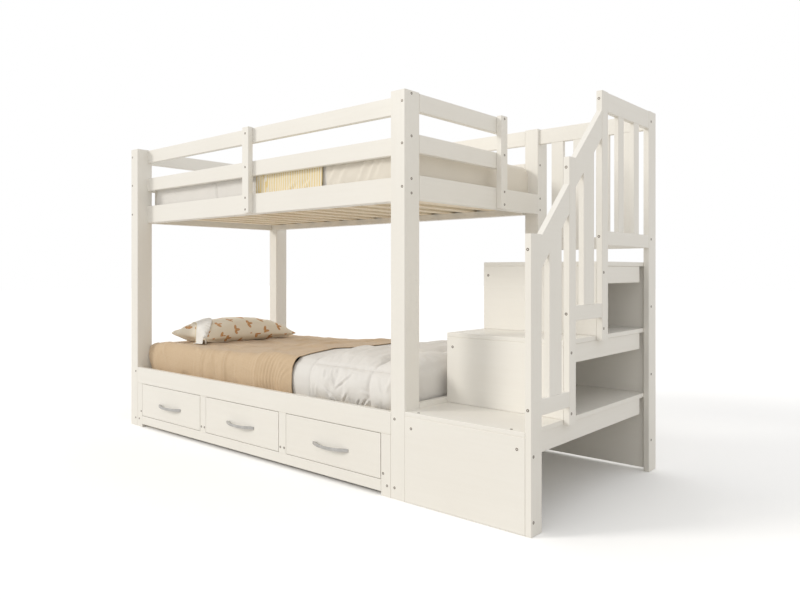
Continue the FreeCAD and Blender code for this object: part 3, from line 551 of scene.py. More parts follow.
def creaseNoise(x, y, seed, sharp):
    # thin ridges, as where cloth has been folded or pushed together
    return (1 - np.clip(np.abs(cloudNoise(x, y, seed)) * 1.6, 0, 1)) ** sharp


def gridFaces(rows, columns):
    index = np.arange(rows * columns).reshape(rows, columns)
    return np.stack([index[:-1, :-1], index[1:, :-1], index[1:, 1:], index[:-1, 1:]], -1).reshape(-1, 4)


def meshObject(name, points, faces, flat, material):
    # flat holds each point's place on the cloth before it was laid, in metres
    faces = [list(face) for face in faces]
    corners = [corner for face in faces for corner in face]
    mesh = bpy.data.meshes.new(name)
    mesh.from_pydata(np.asarray(points).tolist(), [], faces)
    layer = mesh.uv_layers.new(name="flat")
    layer.data.foreach_set("uv", np.asarray(flat)[corners].astype(np.float32).ravel())
    mesh.polygons.foreach_set("use_smooth", [True] * len(faces))
    mesh.materials.append(material)
    return addObject(name, mesh)


def gridObject(name, points, flat, material):
    rows, columns = points.shape[:2]
    return meshObject(name, points.reshape(-1, 3), gridFaces(rows, columns), flat.reshape(-1, 2), material)


def vertexArray(obj, attribute="co"):
    values = np.zeros(len(obj.data.vertices) * 3, np.float32)
    obj.data.vertices.foreach_get(attribute, values)
    return values.reshape(-1, 3).astype(float)


def setVertices(obj, points):
    obj.data.vertices.foreach_set("co", np.asarray(points, np.float32).ravel())
    obj.data.update()


def pushOut(obj, amount):
    setVertices(obj, vertexArray(obj) + vertexArray(obj, "normal") * amount[:, None])


def flatPlaces(obj):
    # each vertex's place on the cloth before it was laid
    uv = np.zeros(len(obj.data.loops) * 2, np.float32)
    obj.data.uv_layers["flat"].data.foreach_get("uv", uv)
    corner = np.zeros(len(obj.data.loops), np.int32)
    obj.data.loops.foreach_get("vertex_index", corner)
    found = np.zeros((len(obj.data.vertices), 2))
    found[corner] = uv.reshape(-1, 2)
    return found[:, 0], found[:, 1]


def applyModifiers(obj):
    # leaves the object with the plain mesh that its modifiers make
    graph = bpy.context.evaluated_depsgraph_get()
    graph.update()
    made = bpy.data.meshes.new_from_object(obj.evaluated_get(graph), depsgraph=graph)
    old = obj.data
    obj.modifiers.clear()
    obj.data = made
    made.name = obj.name
    bpy.data.meshes.remove(old)


def addThickness(obj, thickness, offset):
    solid = obj.modifiers.new("thickness", "SOLIDIFY")
    solid.thickness = thickness
    solid.offset = offset
    solid.use_quality_normals = True
    applyModifiers(obj)


def makeFiner(obj):
    finer = obj.modifiers.new("finer", "SUBSURF")
    finer.levels = 1
    finer.render_levels = 1
    applyModifiers(obj)


def drapeLine(front, back, hem, top, radius, cell):
    # the line that a cover follows across a bed, from its front hem over the top to the back one,
    # with the way that points outwards along it
    drop = top - radius - hem
    arc = radius * math.pi / 2
    total = 2 * drop + 2 * arc + back - front - 2 * radius
    line = np.linspace(0, total, max(8, int(round(total / cell))))
    side = np.where(line > total / 2, -1, 1)
    measure = np.where(line > total / 2, total - line, line)
    tilt = np.clip((measure - drop) / radius, 0, math.pi / 2)
    inwards = radius * (1 - np.cos(tilt)) + np.clip(measure - drop - arc, 0, None)
    return {
        "line": line,
        "y": np.where(side > 0, front + inwards, back - inwards),
        "z": hem + np.minimum(measure, drop) + radius * np.sin(tilt),
        "outY": -np.cos(tilt) * side,
        "outZ": np.sin(tilt),
        "drop": drop,
        "arc": arc,
    }


def hangOf(across, edge, total):
    # for the front and for the back: nought on the bed's top and one at the hem
    return np.clip((edge - across) / edge, 0, 1), np.clip((across - (total - edge)) / edge, 0, 1)


def layOn(drape, x, push, lift=0):
    # the cloth's points, pushed out from the draped line and lifted
    return np.stack([x, drape["y"] + drape["outY"] * push, drape["z"] + drape["outZ"] * push + lift], -1)


lowerLow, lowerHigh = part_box("lower_mattress")
upperLow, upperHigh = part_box("upper_mattress")


# where the two covers of the lower bed meet: the blanket's edge lies over the quilt's hem

quiltReach = 0.035          # by which the quilt starts nearer the head than its node
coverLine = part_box("white_quilt")[0].x - quiltReach


bedCrown = {
    "height": 0.016,        # of the bedding's middle over its edges, at the foot half
    "reach": 0.050,
    "hump": 0.008,
    "humpPlace": -0.18,
    "humpWidth": 0.10,
}


def crownOver(y):
    # how much higher the bedding lies at a place across the bed than at its edges
    fromEdge = np.clip(np.minimum(y - lowerLow.y, lowerHigh.y - y), 0, None)
    crown = bedCrown["height"] * (1 - np.exp(-fromEdge / bedCrown["reach"]))
    return crown + bedCrown["hump"] * np.exp(-((y - bedCrown["humpPlace"]) / bedCrown["humpWidth"]) ** 2)


def bulgeBelow(hang, amount):
    # how far a hanging cover stands out below the mattress's top edge
    return amount * np.sin(0.5 * math.pi * np.clip(hang / 0.45, 0, 1)) * (1 - 0.25 * rampUp(hang, 0.6, 1.0))


def creaseLines(a, b, lines, seed):
    # raised folds with a hollow beside them: from (a, b) to (a, b), height and width
    total = np.zeros_like(a)
    for number, (fromA, fromB, toA, toB, height, width) in enumerate(lines):
        runA = toA - fromA
        runB = toB - fromB
        length = math.hypot(runA, runB)
        share = ((a - fromA) * runA + (b - fromB) * runB) / length ** 2
        aside = ((a - fromA) * runB - (b - fromB) * runA) / length
        aside = aside + 0.35 * width * cloudNoise(share * 2.5, share * 0 + number, seed)
        taper = np.clip(1 - (2 * share - 1) ** 2, 0, 1) ** 0.6
        total += height * taper * (np.exp(-(aside / width) ** 2)
                                   - 0.7 * np.exp(-((aside + 1.7 * width) / width) ** 2))
    return total


# tan blanket, tucked behind the front rail

blanketValues = {
    "colour": (0.730, 0.575, 0.400),
    "shade": (0.595, 0.435, 0.275),
    "threads": 620,
    "slub": 0.55,
    "mottle": 0.35,
    "sheen": 0.25,
    "bump": 0.35,
    "cell": 0.0056,
    "wideCell": 0.0070,     # where the folds are broad
    "fineFrom": 0.95,       # along the blanket
    "fineCell": 0.0045,
    "thickness": 0.003,
    "headReach": 0.0065,    # past the mattress at the head end
    "endRound": 0.016,
    "endTurn": 80,          # degrees that its end turns in over the mattress's edge
    "endTuck": 0.024,       # by which the end is drawn in down at the rail
    "overlap": 0.011,       # over the quilt's hem
    "overQuilt": 0.0018,    # clear of it there
    "edgeLift": 0.0014,
    "frontOut": 0.012,
    "backOut": 0.004,
    "rise": 0.004,          # above the mattress
    "hem": 0.006,
    "edgeRound": 0.032,
    "bulge": 0.025,
    "slowFolds": 0.009,
    "frontCrease": 0.0026,
    "backFolds": 0.010,
    "backCrease": 0.004,
    "topWaves": 0.008,
    "topStand": 0.0035,     # kept free for the waves to dip into
    "topCreases": (0.0040, 0.0032),
    "ripple": 0.0011,
    "clear": 0.0004,
    "liftWidth": 0.016,     # of the stretch over which its edge rises
    "edgeSway": 0.003,
    # folds down the front: where from and to, along the bed and up from the hem, height, width
    "folds": (
        (0.548, -0.02, 0.557, 0.165, 0.0080, 0.0062),
        (0.750, 0.010, 0.742, 0.180, 0.0070, 0.0060),
        (0.520, 0.120, 0.430, 0.165, 0.0034, 0.0065),
        (0.585, 0.135, 0.470, 0.175, 0.0032, 0.0065),
        (0.640, 0.090, 0.600, 0.170, 0.0034, 0.0070),
        (0.470, 0.020, 0.480, 0.100, 0.0026, 0.0080),
        (0.680, 0.020, 0.672, 0.120, 0.0026, 0.0070),
        (0.840, 0.010, 0.836, 0.110, 0.0028, 0.0070),
        (0.210, 0.060, 0.150, 0.160, 0.0030, 0.0100),
        (0.110, 0.110, 0.020, 0.165, 0.0034, 0.0090),
    ),
    # rings of fine folds beside the quilt, round a place given in the same terms
    "ringCentre": (1.250, 0.050),
    "ringPitch": 0.0215,
    "ringHeight": 0.0017,
    "ringSway": 0.004,
    "ridgeReach": 0.256,    # of the one ring that stands higher
    "ridgeHeight": 0.0048,
    "ridgeWidth": 0.0065,
    # folds over the top, in the bed's own x and y
    "topFolds": (
        (-0.213, -0.470, -0.294, -0.200, 0.0070, 0.020),
        (-0.300, -0.300, -0.180, 0.090, 0.0110, 0.024),
        (-0.230, -0.040, -0.020, 0.360, 0.0100, 0.026),
        (-0.620, -0.260, -0.330, 0.120, 0.0070, 0.022),
        (-0.520, 0.060, -0.120, 0.330, 0.0070, 0.024),
        (-0.760, -0.380, -0.560, -0.180, 0.0050, 0.018),
        (-0.700, 0.150, -0.420, 0.420, 0.0060, 0.022),
    ),
}


def foldRings(along, across, hang, values):
    ringA, ringB = values["ringCentre"]
    sway = values["ringSway"] * cloudNoise(along * 9, across * 7, 12)
    reach = np.hypot(along - ringA, across - ringB) + sway
    rings = np.sin(2 * math.pi * reach / values["ringPitch"])
    area = rampUp(reach, 0.03, 0.07) * (1 - 0.6 * rampUp(reach, 0.20, 0.30))
    area = area * (1 - rampUp(reach, 0.34, 0.42))
    ridge = np.exp(-((reach - values["ridgeReach"]) / values["ridgeWidth"]) ** 2)
    onFront = rampUp(hang, 0.0, 0.2) * (1 - 0.6 * rampUp(along, ringA - 0.03, ringA + 0.02))
    return (values["ringHeight"] * area * rings + values["ridgeHeight"] * ridge) * onFront


def makeBlanket(values):
    material = clothMaterial("tanBlanketCloth", values)
    start = lowerLow.x - values["headReach"]
    drape = drapeLine(lowerLow.y - values["frontOut"], lowerHigh.y + values["backOut"],
                      lowerLow.z + values["hem"], lowerHigh.z + values["rise"],
                      values["edgeRound"], values["cell"])
    bend = values["endRound"]
    turnMost = math.radians(values["endTurn"])
    endReach = bend * math.sin(turnMost)
    length = coverLine + values["overlap"] - start - endReach + bend * turnMost
    fine = int(round((length - values["fineFrom"]) / values["fineCell"]))
    rows = np.concatenate([np.arange(0, values["fineFrom"] - values["fineCell"], values["wideCell"]),
                           np.linspace(values["fineFrom"], length, fine)])
    along, across = np.meshgrid(rows, drape["line"], indexing="ij")
    turn = np.clip(turnMost - along / bend, 0, None)
    x = start + endReach - bend * np.sin(turn) + np.clip(along - bend * turnMost, 0, None)
    inset = bend * (1 - np.cos(turn))
    share = along / length
    total = drape["line"][-1]
    hang, hangBack = hangOf(across, drape["drop"] + drape["arc"], total)
    side = np.maximum(hang, hangBack)
    onTop = 1 - rampUp(side, 0.0, 0.35)
    started = rampUp(along, 0.02, 0.12)
    level = quiltValues["rise"] - values["rise"] + values["overQuilt"]
    climb = (level + crownOver(drape["y"])) * rampUp(share, 0.50, 0.97) * (1 - rampUp(side, 0.05, 0.5))
    settled = 1 - 0.85 * rampUp(share, 0.88, 1.0)         # calm where it lies on the quilt

    # the front: named folds, slow swells, and rings of fine folds beside the quilt
    slow = 0.5 + 0.5 * np.sin(2 * math.pi * (along * 4.3 + 0.8 * cloudNoise(along * 3, across * 2, 11)))
    fold = values["slowFolds"] * hang ** 1.2 * slow * started
    fold += creaseLines(along, across, values["folds"], 15) * rampUp(hang, -0.05, 0.12)
    fold += foldRings(along, across, hang, values)
    crease = creaseNoise(along * 9 + across * 2, across * 6, 13, 2.5)
    fold += values["frontCrease"] * crease * rampUp(hang, 0.0, 0.3) * started
    slow = 0.5 + 0.5 * np.sin(2 * math.pi * along * 4.6)
    foldBack = values["backFolds"] * hangBack ** 1.2 * slow * started
    crease = creaseNoise(along * 7, across * 5, 17, 2.5)
    foldBack += values["backCrease"] * crease * rampUp(hangBack, 0.0, 0.3)

    # the top: long soft waves that run along the bed towards the quilt, and a few creases
    waves = values["topWaves"] * layeredNoise(along * 2.4, across * 8.5 + along * 1.2, 21, 2)
    waves = waves + creaseLines(x, drape["y"] + 0 * x, values["topFolds"], 22)
    lengthways, slanting = values["topCreases"]
    creases = lengthways * creaseNoise(along * 2.6 + across * 1.0, across * 6.5, 24, 3.0)
    creases += slanting * creaseNoise(along * 4.5 - across * 3.1, across * 4.3, 26, 3.0)
    ripple = values["ripple"] * layeredNoise(along * 15, across * 15, 28, 2)
    raised = onTop * (values["topStand"] + waves + creases) * started * settled + ripple
    push = np.maximum(values["clear"], raised) + fold + foldBack - inset
    push += bulgeBelow(hang, values["bulge"])
    push += values["edgeLift"] * rampUp(share, 1 - values["liftWidth"] / length, 1.0)
    tuck = values["endTuck"] * rampUp(hang, 0.35, 1.0) * (1 - rampUp(along, 0.0, 0.22))
    sway = values["edgeSway"] * cloudNoise(across * 4, along * 2, 31) * rampUp(share, 0.92, 1.0)
    blanket = gridObject("blanket", layOn(drape, x + tuck + sway, push, climb),
                         np.stack([along, across], -1), material)
    addThickness(blanket, values["thickness"], 1.0)
    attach(blanket, "bed")
    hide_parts("tan_blanket")
    return blanket


# white quilt, stitched in squares, over the foot end of the bed

quiltValues = {
    "colour": (0.815, 0.795, 0.765),
    "shade": (0.74, 0.715, 0.68),
    "threads": 900,
    "slub": 0.25,
    "mottle": 0.22,
    "sheen": 0.3,
    "bump": 0.15,
    "cell": 0.0092,         # halved once the cloth has swollen
    "square": 0.363,
    "border": 0.1235,
    "frontOut": 0.0075,
    "backOut": 0.0215,
    "rise": 0.0215,         # of the seams above the mattress
    "hem": 0.009,
    "edgeRound": 0.034,
    "footRound": 0.022,
    "footNarrow": 0.034,    # share by which it draws in there, to pass between the posts
    "footRoom": 0.0265,     # kept between its foot end and the node's, for the swell
    "bulge": 0.025,
    "topPuff": 0.022,
    "sidePuff": 0.0125,
    "thickness": 0.016,
    "tension": 12,
    "bending": 0.4,
    "pressure": 2.2,
    "slack": -0.018,
    "cap": 0.009,
    "seamDepth": 0.0052,
    "seamWidth": 0.0048,
    "plainPuff": 0.0012,    # of its border, which isn't filled
    "wrinkle": 0.0018,
    "crease": 0.0028,
    "postRoom": 0.055,      # before its foot end, where it thins to pass the post
    # creases that spread from where the front is tucked in, as the blanket's folds are given
    "creases": (
        (0.2974, 0.070, 0.2534, 0.140, 0.0080, 0.0058),
        (0.3035, 0.062, 0.3908, 0.131, -0.0056, 0.0044),
        (0.3379, 0.012, 0.3724, 0.055, -0.0046, 0.0040),
        (0.2226, 0.062, 0.2837, 0.010, 0.0058, 0.0058),
        (0.2113, 0.137, 0.2282, 0.098, 0.0044, 0.0052),
        (0.2782, 0.150, 0.2892, 0.124, 0.0040, 0.0048),
        (0.4168, 0.008, 0.4373, 0.036, -0.0040, 0.0036),
        (0.4400, 0.004, 0.4700, 0.040, -0.0042, 0.0036),
        (0.4577, 0.010, 0.4880, 0.040, 0.0056, 0.0046),
        (0.4480, 0.070, 0.4860, 0.058, 0.0030, 0.0052),
        (0.1650, 0.020, 0.1900, 0.075, 0.0030, 0.0064),
        (0.5350, 0.130, 0.5700, 0.060, 0.0026, 0.0074),
        (0.6100, 0.140, 0.5900, 0.080, 0.0026, 0.0074),
    ),
    # long folds over the top, in the same terms
    "topFolds": (
        (0.335, 0.230, 0.300, 0.620, 0.0080, 0.020),
        (0.215, 0.200, 0.180, 0.560, 0.0050, 0.016),
        (0.440, 0.210, 0.455, 0.480, 0.0055, 0.018),
        (0.360, 0.640, 0.300, 0.980, 0.0060, 0.018),
        (0.560, 0.240, 0.600, 0.620, 0.0050, 0.018),
    ),
}


simulation = {"frames": 20, "quality": 5, "mass": 0.2}


def runCloth(obj, values, pinName=""):
    # a short simulation with no gravity, whose result is kept as the mesh
    rest = vertexArray(obj)
    cloth = obj.modifiers.new("cloth", "CLOTH")
    settings = cloth.settings
    settings.quality = simulation["quality"]
    settings.mass = simulation["mass"]
    settings.tension_stiffness = values["tension"]
    settings.compression_stiffness = values["tension"]
    settings.shear_stiffness = values["tension"] / 2
    settings.bending_stiffness = values["bending"]
    settings.use_pressure = True
    settings.uniform_pressure_force = values["pressure"]
    settings.shrink_min = values["slack"]
    settings.effector_weights.gravity = 0
    if pinName:
        settings.vertex_group_mass = pinName
    cloth.collision_settings.use_collision = False
    cloth.collision_settings.use_self_collision = False
    cloth.point_cache.frame_start = 1
    cloth.point_cache.frame_end = simulation["frames"]
    for number in range(simulation["frames"]):
        scene.frame_set(number + 1)
    applyModifiers(obj)
    moved = vertexArray(obj) - rest
    length = np.linalg.norm(moved, axis=1, keepdims=True)
    setVertices(obj, rest + moved * np.minimum(1, values["cap"] / np.maximum(length, 1e-9)))
    scene.frame_set(1)


def seamSwell(value, seams, power):
    # nought on each seam and one midway between two of them
    share = np.zeros_like(value)
    for low, high in zip(seams, seams[1:]):
        inside = (value >= low) & (value <= high)
        part = np.clip((value - low) / (high - low), 0, 1)
        share = np.where(inside, np.sin(math.pi * part) ** power, share)
    return share


def seamDistance(value, seams):
    return np.min([np.abs(value - seam) for seam in seams], axis=0)


def clothOverEnd(name, bed, crown, values, start, endX, material):
    # a cloth laid over a bed's top, down its front and back, and down its foot end
    cell = values["cell"]
    hem = bed[0].z + values["hem"]
    top = bed[1].z + values["rise"]
    front = bed[0].y - values["frontOut"]
    back = bed[1].y + values["backOut"]
    drape = drapeLine(front, back, hem, top, values["edgeRound"], cell)
    line = drape["line"]
    topLength = endX - start
    topRows = int(round(topLength / cell))
    first = int(np.argmax(line >= drape["drop"] - 1e-6))      # the first column that turns over the edge
    last = len(line) - 1 - first
    bend = values["footRound"]
    footLength = bend * math.pi / 2 + top - bend - hem
    measure = np.concatenate([np.linspace(0, topLength, topRows),
                              topLength + footLength * np.arange(1, first + 1) / first])
    along, across = np.meshgrid(measure, line, indexing="ij")
    past = np.clip(along - topLength, 0, None)
    turn = np.clip(past / bend, 0, math.pi / 2)
    down = np.clip(past - bend * math.pi / 2, 0, None)
    level = top - bend * (1 - np.cos(turn)) - down
    middle = (front + back) / 2
    drawnIn = 1 - values["footNarrow"] * rampUp(past, 0.0, 0.018)
    z = drape["z"] + crown(drape["y"]) * rampUp(drape["z"], top - values["edgeRound"], top)
    points = np.stack([
        start + np.minimum(along, topLength) + bend * np.sin(turn),
        middle + (drape["y"] - middle) * drawnIn,
        hem + (z - hem) * (level - hem) / (top - hem),
    ], -1)
    rows, columns = along.shape
    used = np.ones((rows, columns), bool)
    used[topRows:, :first] = False
    used[topRows:, last + 1:] = False
    index = np.arange(rows * columns).reshape(rows, columns)
    faces = [face.tolist() for face in gridFaces(rows, columns) if used.ravel()[face].all()]
    ending = topRows - 1
    for k in range(first):                            # close the two upright corners
        faces.append([index[ending, first - k - 1], index[ending + k + 1, first],
                      index[ending + k, first], index[ending, first - k]])
        faces.append([index[ending, last + k], index[ending + k, last],
                      index[ending + k + 1, last], index[ending, last + k + 1]])
    renumber = np.cumsum(used.ravel()) - 1
    faces = [[int(renumber[corner]) for corner in dict.fromkeys(face)] for face in faces]
    flat = np.stack([along, across], -1)[used]
    made = meshObject(name, points[used], faces, flat, material)
    lines = {
        "edge": drape["drop"] + drape["arc"] * 0.5,
        "total": line[-1],
        "topLength": topLength,
        "foot": topLength + bend * 0.8,
        "footHem": topLength + footLength,
        "footWidth": line[last] - line[first],
    }
    return made, along[used], across[used], lines


def makeQuilt(values):
    material = clothMaterial("whiteQuiltCloth", values)
    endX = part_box("white_quilt")[1].x - values["footRoom"]
    quilt, a, b, lines = clothOverEnd("quilt", (lowerLow, lowerHigh), crownOver, values,
                                      coverLine, endX, material)
    edge = lines["edge"]
    total = lines["total"]
    end = lines["topLength"]
    border = values["border"]
    square = values["square"]
    seamsA = [0.0, border, border + square, lines["foot"], lines["footHem"]]
    seamsB = [0.0, edge, edge + square, edge + 2 * square, total - edge, total]
    hang, hangBack = hangOf(b, edge, total)
    hangFoot = np.clip((a - lines["foot"]) / (lines["footHem"] - lines["foot"]), 0, 1)
    side = rampUp(np.maximum(np.maximum(hang, hangBack), hangFoot), 0.0, 0.25)
    foot = rampUp(hangFoot, 0.0, 0.2)
    atPost = rampUp(a, end - values["postRoom"], end - 0.004)
    plain = a < border
    height = values["topPuff"] * (1 - side) + values["sidePuff"] * side * (1 - 0.6 * foot)
    height *= 1 - 0.75 * atPost * side * (1 - foot)
    puff = height * seamSwell(a, seamsA, 0.42) * seamSwell(b, seamsB, 0.5)
    puff = np.where(plain, values["plainPuff"] * seamSwell(a, seamsA, 0.5), puff)
    openness = rampUp(seamDistance(a, seamsA), 0.0, 0.03) * rampUp(seamDistance(b, seamsB), 0.0, 0.03)
    wrinkle = values["wrinkle"] * layeredNoise(a * 8, b * 8, 41, 3)
    crease = values["crease"] * creaseNoise(a * 5 + b * 2, b * 5 - a * 2, 44, 3)
    push = puff + (wrinkle + crease) * openness * np.where(plain, 0.2, 1 - 0.5 * foot)
    push += creaseLines(a, b, values["topFolds"], 47) * (1 - side)
    pushOut(quilt, push + bulgeBelow(hang, values["bulge"]) * (1 - rampUp(a, end - 0.06, end)))
    held = quilt.vertex_groups.new(name="seams")
    near = values["cell"] * 0.75
    onSeam = (seamDistance(a, seamsA) < near) | (seamDistance(b, seamsB) < near) | plain
    held.add(np.nonzero(onSeam)[0].tolist(), 1.0, "REPLACE")
    runCloth(quilt, values, "seams")
    makeFiner(quilt)
    a, b = flatPlaces(quilt)
    hang, hangBack = hangOf(b, edge, total)
    width = values["seamWidth"]
    groove = np.exp(-(seamDistance(a, seamsA[1:4]) / width) ** 2)
    groove = np.maximum(groove, np.exp(-(seamDistance(b, seamsB[1:5]) / width) ** 2) * (a > border))
    folds = creaseLines(a, b, values["creases"], 49) * rampUp(hang, 0.02, 0.15)
    pushOut(quilt, folds - values["seamDepth"] * groove)
    addThickness(quilt, values["thickness"], -1.0)
    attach(quilt, "bed")
    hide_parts("white_quilt")


blanket = makeBlanket(blanketValues)
print("blanket laid")
makeQuilt(quiltValues)
print("quilt laid")


# pillow

pillowValues = {
    "colour": (0.905, 0.84, 0.72),
    "shade": (0.83, 0.75, 0.61),
    "print": (0.54, 0.25, 0.085),
    "printVein": (0.78, 0.50, 0.26),
    "threads": 700,
    "slub": 0.25,
    "mottle": 0.3,
    "sheen": 0.1,
    "bump": 0.2,
    "cell": 0.0078,
    "weld": 0.0004,
    "pitch": 0.098,
    "leaf": (0.185, 0.088),         # length and width, as shares of the pitch
    "printStarts": (1.02, 3.037),   # at the middle of the upper and of the lower skin
    # its corners, from the node's: inwards along the bed, inwards across it, and up to the seam
    "corners": {
        "headFront": (0.000, 0.000, 0.044),
        "footFront": (0.085, 0.000, 0.016),
        "footBack": (0.040, 0.004, 0.014),
        "headBack": (0.004, 0.006, 0.020),
    },
    "seamHeight": 0.034,    # midway along its sides
    "drawnIn": 0.026,       # of each side, midway between the corners
    "backSlope": 0.10,      # less full towards the back
    "hollow": 0.05,         # where a head has lain
    "puckers": 0.0010,
    "pleats": 0.0020,       # where the seams draw in
    "creases": 0.0045,
    "floorGap": 0.001,
    "tension": 15,
    "bending": 0.3,
    "pressure": 2.5,
    "slack": -0.02,
    "cap": 0.010,
}


def printLeaves(tree, flat, colour):
    length, width = pillowValues["leaf"]
    made = placeGroup(tree, "sprigs", {
        "Flat": flat, "Pitch": pillowValues["pitch"], "Leaf Length": length, "Leaf Width": width})
    inked = addMix(tree, made["Vein"], pillowValues["print"], pillowValues["printVein"])
    return addMix(tree, made["Mask"], colour, inked)


def measuredFlat(points):
    # each point's place on the cloth, measured along the surface from the middle of the grid
    total = []
    for axis in (0, 1):
        steps = np.linalg.norm(np.diff(points, axis=axis), axis=-1)
        length = np.cumsum(steps, axis=axis)
        length = np.concatenate([np.zeros_like(np.take(length, [0], axis=axis)), length], axis=axis)
        total.append(length - np.take(length, [points.shape[axis] // 2], axis=axis))
    return np.stack(total, -1).reshape(-1, 2)


def pillowForm(values, sx, ty, low, high):
    # upper and lower skins over a grid from minus one to one each way
    height = high.z - low.z
    corners = values["corners"]
    weights = {
        "headFront": (1 - sx) * (1 - ty) / 4,
        "footFront": (1 + sx) * (1 - ty) / 4,
        "footBack": (1 + sx) * (1 + ty) / 4,
        "headBack": (1 - sx) * (1 + ty) / 4,
    }
    x = 0
    y = 0
    cornerSeam = 0
    for name, weight in weights.items():
        inX, inY, up = corners[name]
        x = x + weight * (low.x + inX if name.startswith("head") else high.x - inX)
        y = y + weight * (low.y + inY if name.endswith("Front") else high.y - inY)
        cornerSeam = cornerSeam + weight * up
    x = x - values["drawnIn"] * sx * (1 - ty ** 2)
    y = y - values["drawnIn"] * ty * (1 - sx ** 2)
    nearCorner = rampUp(np.abs(sx * ty), 0.30, 1.0)
    seam = values["seamHeight"] * (1 - nearCorner) + cornerSeam * nearCorner
    rim = np.clip((1 - sx ** 2) * (1 - ty ** 2), 0, 1)
    full = rim ** (0.40 + 0.04 * ty) * (1 - 0.60 * rampUp(np.abs(sx * ty), 0.44, 0.95))
    full = full * (1 - values["backSlope"] * rampUp(ty, 0.1, 1.0))
    hollow = values["hollow"] * np.exp(-((sx + 0.1) ** 2 + (ty - 0.15) ** 2) / 0.35)
    puckers = values["puckers"] * layeredNoise(sx * 6, ty * 9, 61, 2) * np.sqrt(rim)
    above = seam + (height - seam) * full * (1 - hollow) + puckers
    below = seam * (1 - np.clip(rim * 3.0, 0, 1) ** 0.6)
    return (np.stack([x, y, low.z + above], -1), np.stack([x, y, low.z + below], -1))


def makePillow(values):
    material = clothMaterial("sprigPrintCloth", values, printLeaves)
    low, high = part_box("pillow")
    size = high - low
    countX = int(round(size.x / values["cell"]))
    countY = int(round(size.y / values["cell"]))
    sx, ty = np.meshgrid(np.linspace(-1, 1, countX), np.linspace(-1, 1, countY), indexing="ij")
    upper, lower = pillowForm(values, sx, ty, low, high)
    faces = gridFaces(countX, countY)
    flat = [measuredFlat(skin) + first for skin, first in zip((upper, lower), values["printStarts"])]
    pillow = meshObject("pillowCase", np.concatenate([upper.reshape(-1, 3), lower.reshape(-1, 3)]),
                        np.concatenate([faces, faces[:, ::-1] + countX * countY]),
                        np.concatenate(flat), material)
    work = bmesh.new()
    work.from_mesh(pillow.data)
    bmesh.ops.remove_doubles(work, verts=work.verts, dist=values["weld"])
    bmesh.ops.recalc_face_normals(work, faces=work.faces)
    work.to_mesh(pillow.data)
    work.free()
    runCloth(pillow, values)
    shape = vertexArray(pillow)
    x, y, z = shape.T
    # pleats where the seams draw in, and soft folds towards the corners
    middle = (low + high) / 2
    nearEnds = np.abs(x - middle.x) / (size.x / 2)
    nearSides = np.abs(y - middle.y) / (size.y / 2)
    pleat = values["pleats"] * np.sin(y * 95 + 2 * cloudNoise(y * 9, x * 3, 66))
    pleat *= rampUp(nearEnds, 0.55, 0.95)
    pleat += values["pleats"] * np.sin(x * 110) * rampUp(nearSides, 0.6, 0.97)
    pleat += values["creases"] * creaseNoise(x * 6 + y * 4, y * 5, 67, 3)
    pleat *= rampUp(z - low.z, 0.01, 0.05)
    shape = shape + vertexArray(pillow, "normal") * pleat[:, None]
    bottom = shape[:, 2].min()
    stretch = size.z / (shape[:, 2].max() - bottom)
    shape[:, 2] = low.z + values["floorGap"] + (shape[:, 2] - bottom) * stretch
    setVertices(pillow, shape)
    makeFiner(pillow)
    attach(pillow, "bed")
    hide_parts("pillow")
    return pillow


pillow = makePillow(pillowValues)
print("pillow filled")


# gathered frill, sewn across the pillowcase near its front end

frillValues = {
    "colour": (0.90, 0.885, 0.855),
    "shade": (0.83, 0.81, 0.77),
    "threads": 1100,
    "slub": 0.2,
    "mottle": 0.15,
    "sheen": 0.2,
    "bump": 0.12,
    "tape": (0.80, 0.69, 0.47),
    "tapeWidth": 0.006,
    # its sewn and its free edge, from the pillow's front corner on the foot side: x and y
    "sewn": ((-0.108, 0.001), (-0.185, 0.072), (-0.360, 0.120)),
    "free": ((-0.004, 0.014), (-0.118, 0.133), (-0.340, 0.205)),
    "rows": 14,
    "columns": 260,
    "stand": 0.0030,
    "pleats": 15,
    "pleatHeight": 0.0075,
    "dip": 0.001,           # as deep as it sinks into a hollow under it
    "bridgings": 2,
    "thickness": 0.0012,
}


def dyeTape(tree, flat, colour):
    width = frillValues["tapeWidth"]
    mask = addRange(tree, split(tree, flat)[1], width * 0.85, width, 1, 0)
    return addMix(tree, mask, colour, frillValues["tape"])


def ground(surface, x, y, top):
    # height of a surface below a place, or of the mattress where it doesn't reach
    hit = surface.ray_cast(Vector((x, y, top + 0.2)), Vector((0, 0, -1)))[0]
    return hit.z if hit else lowerHigh.z


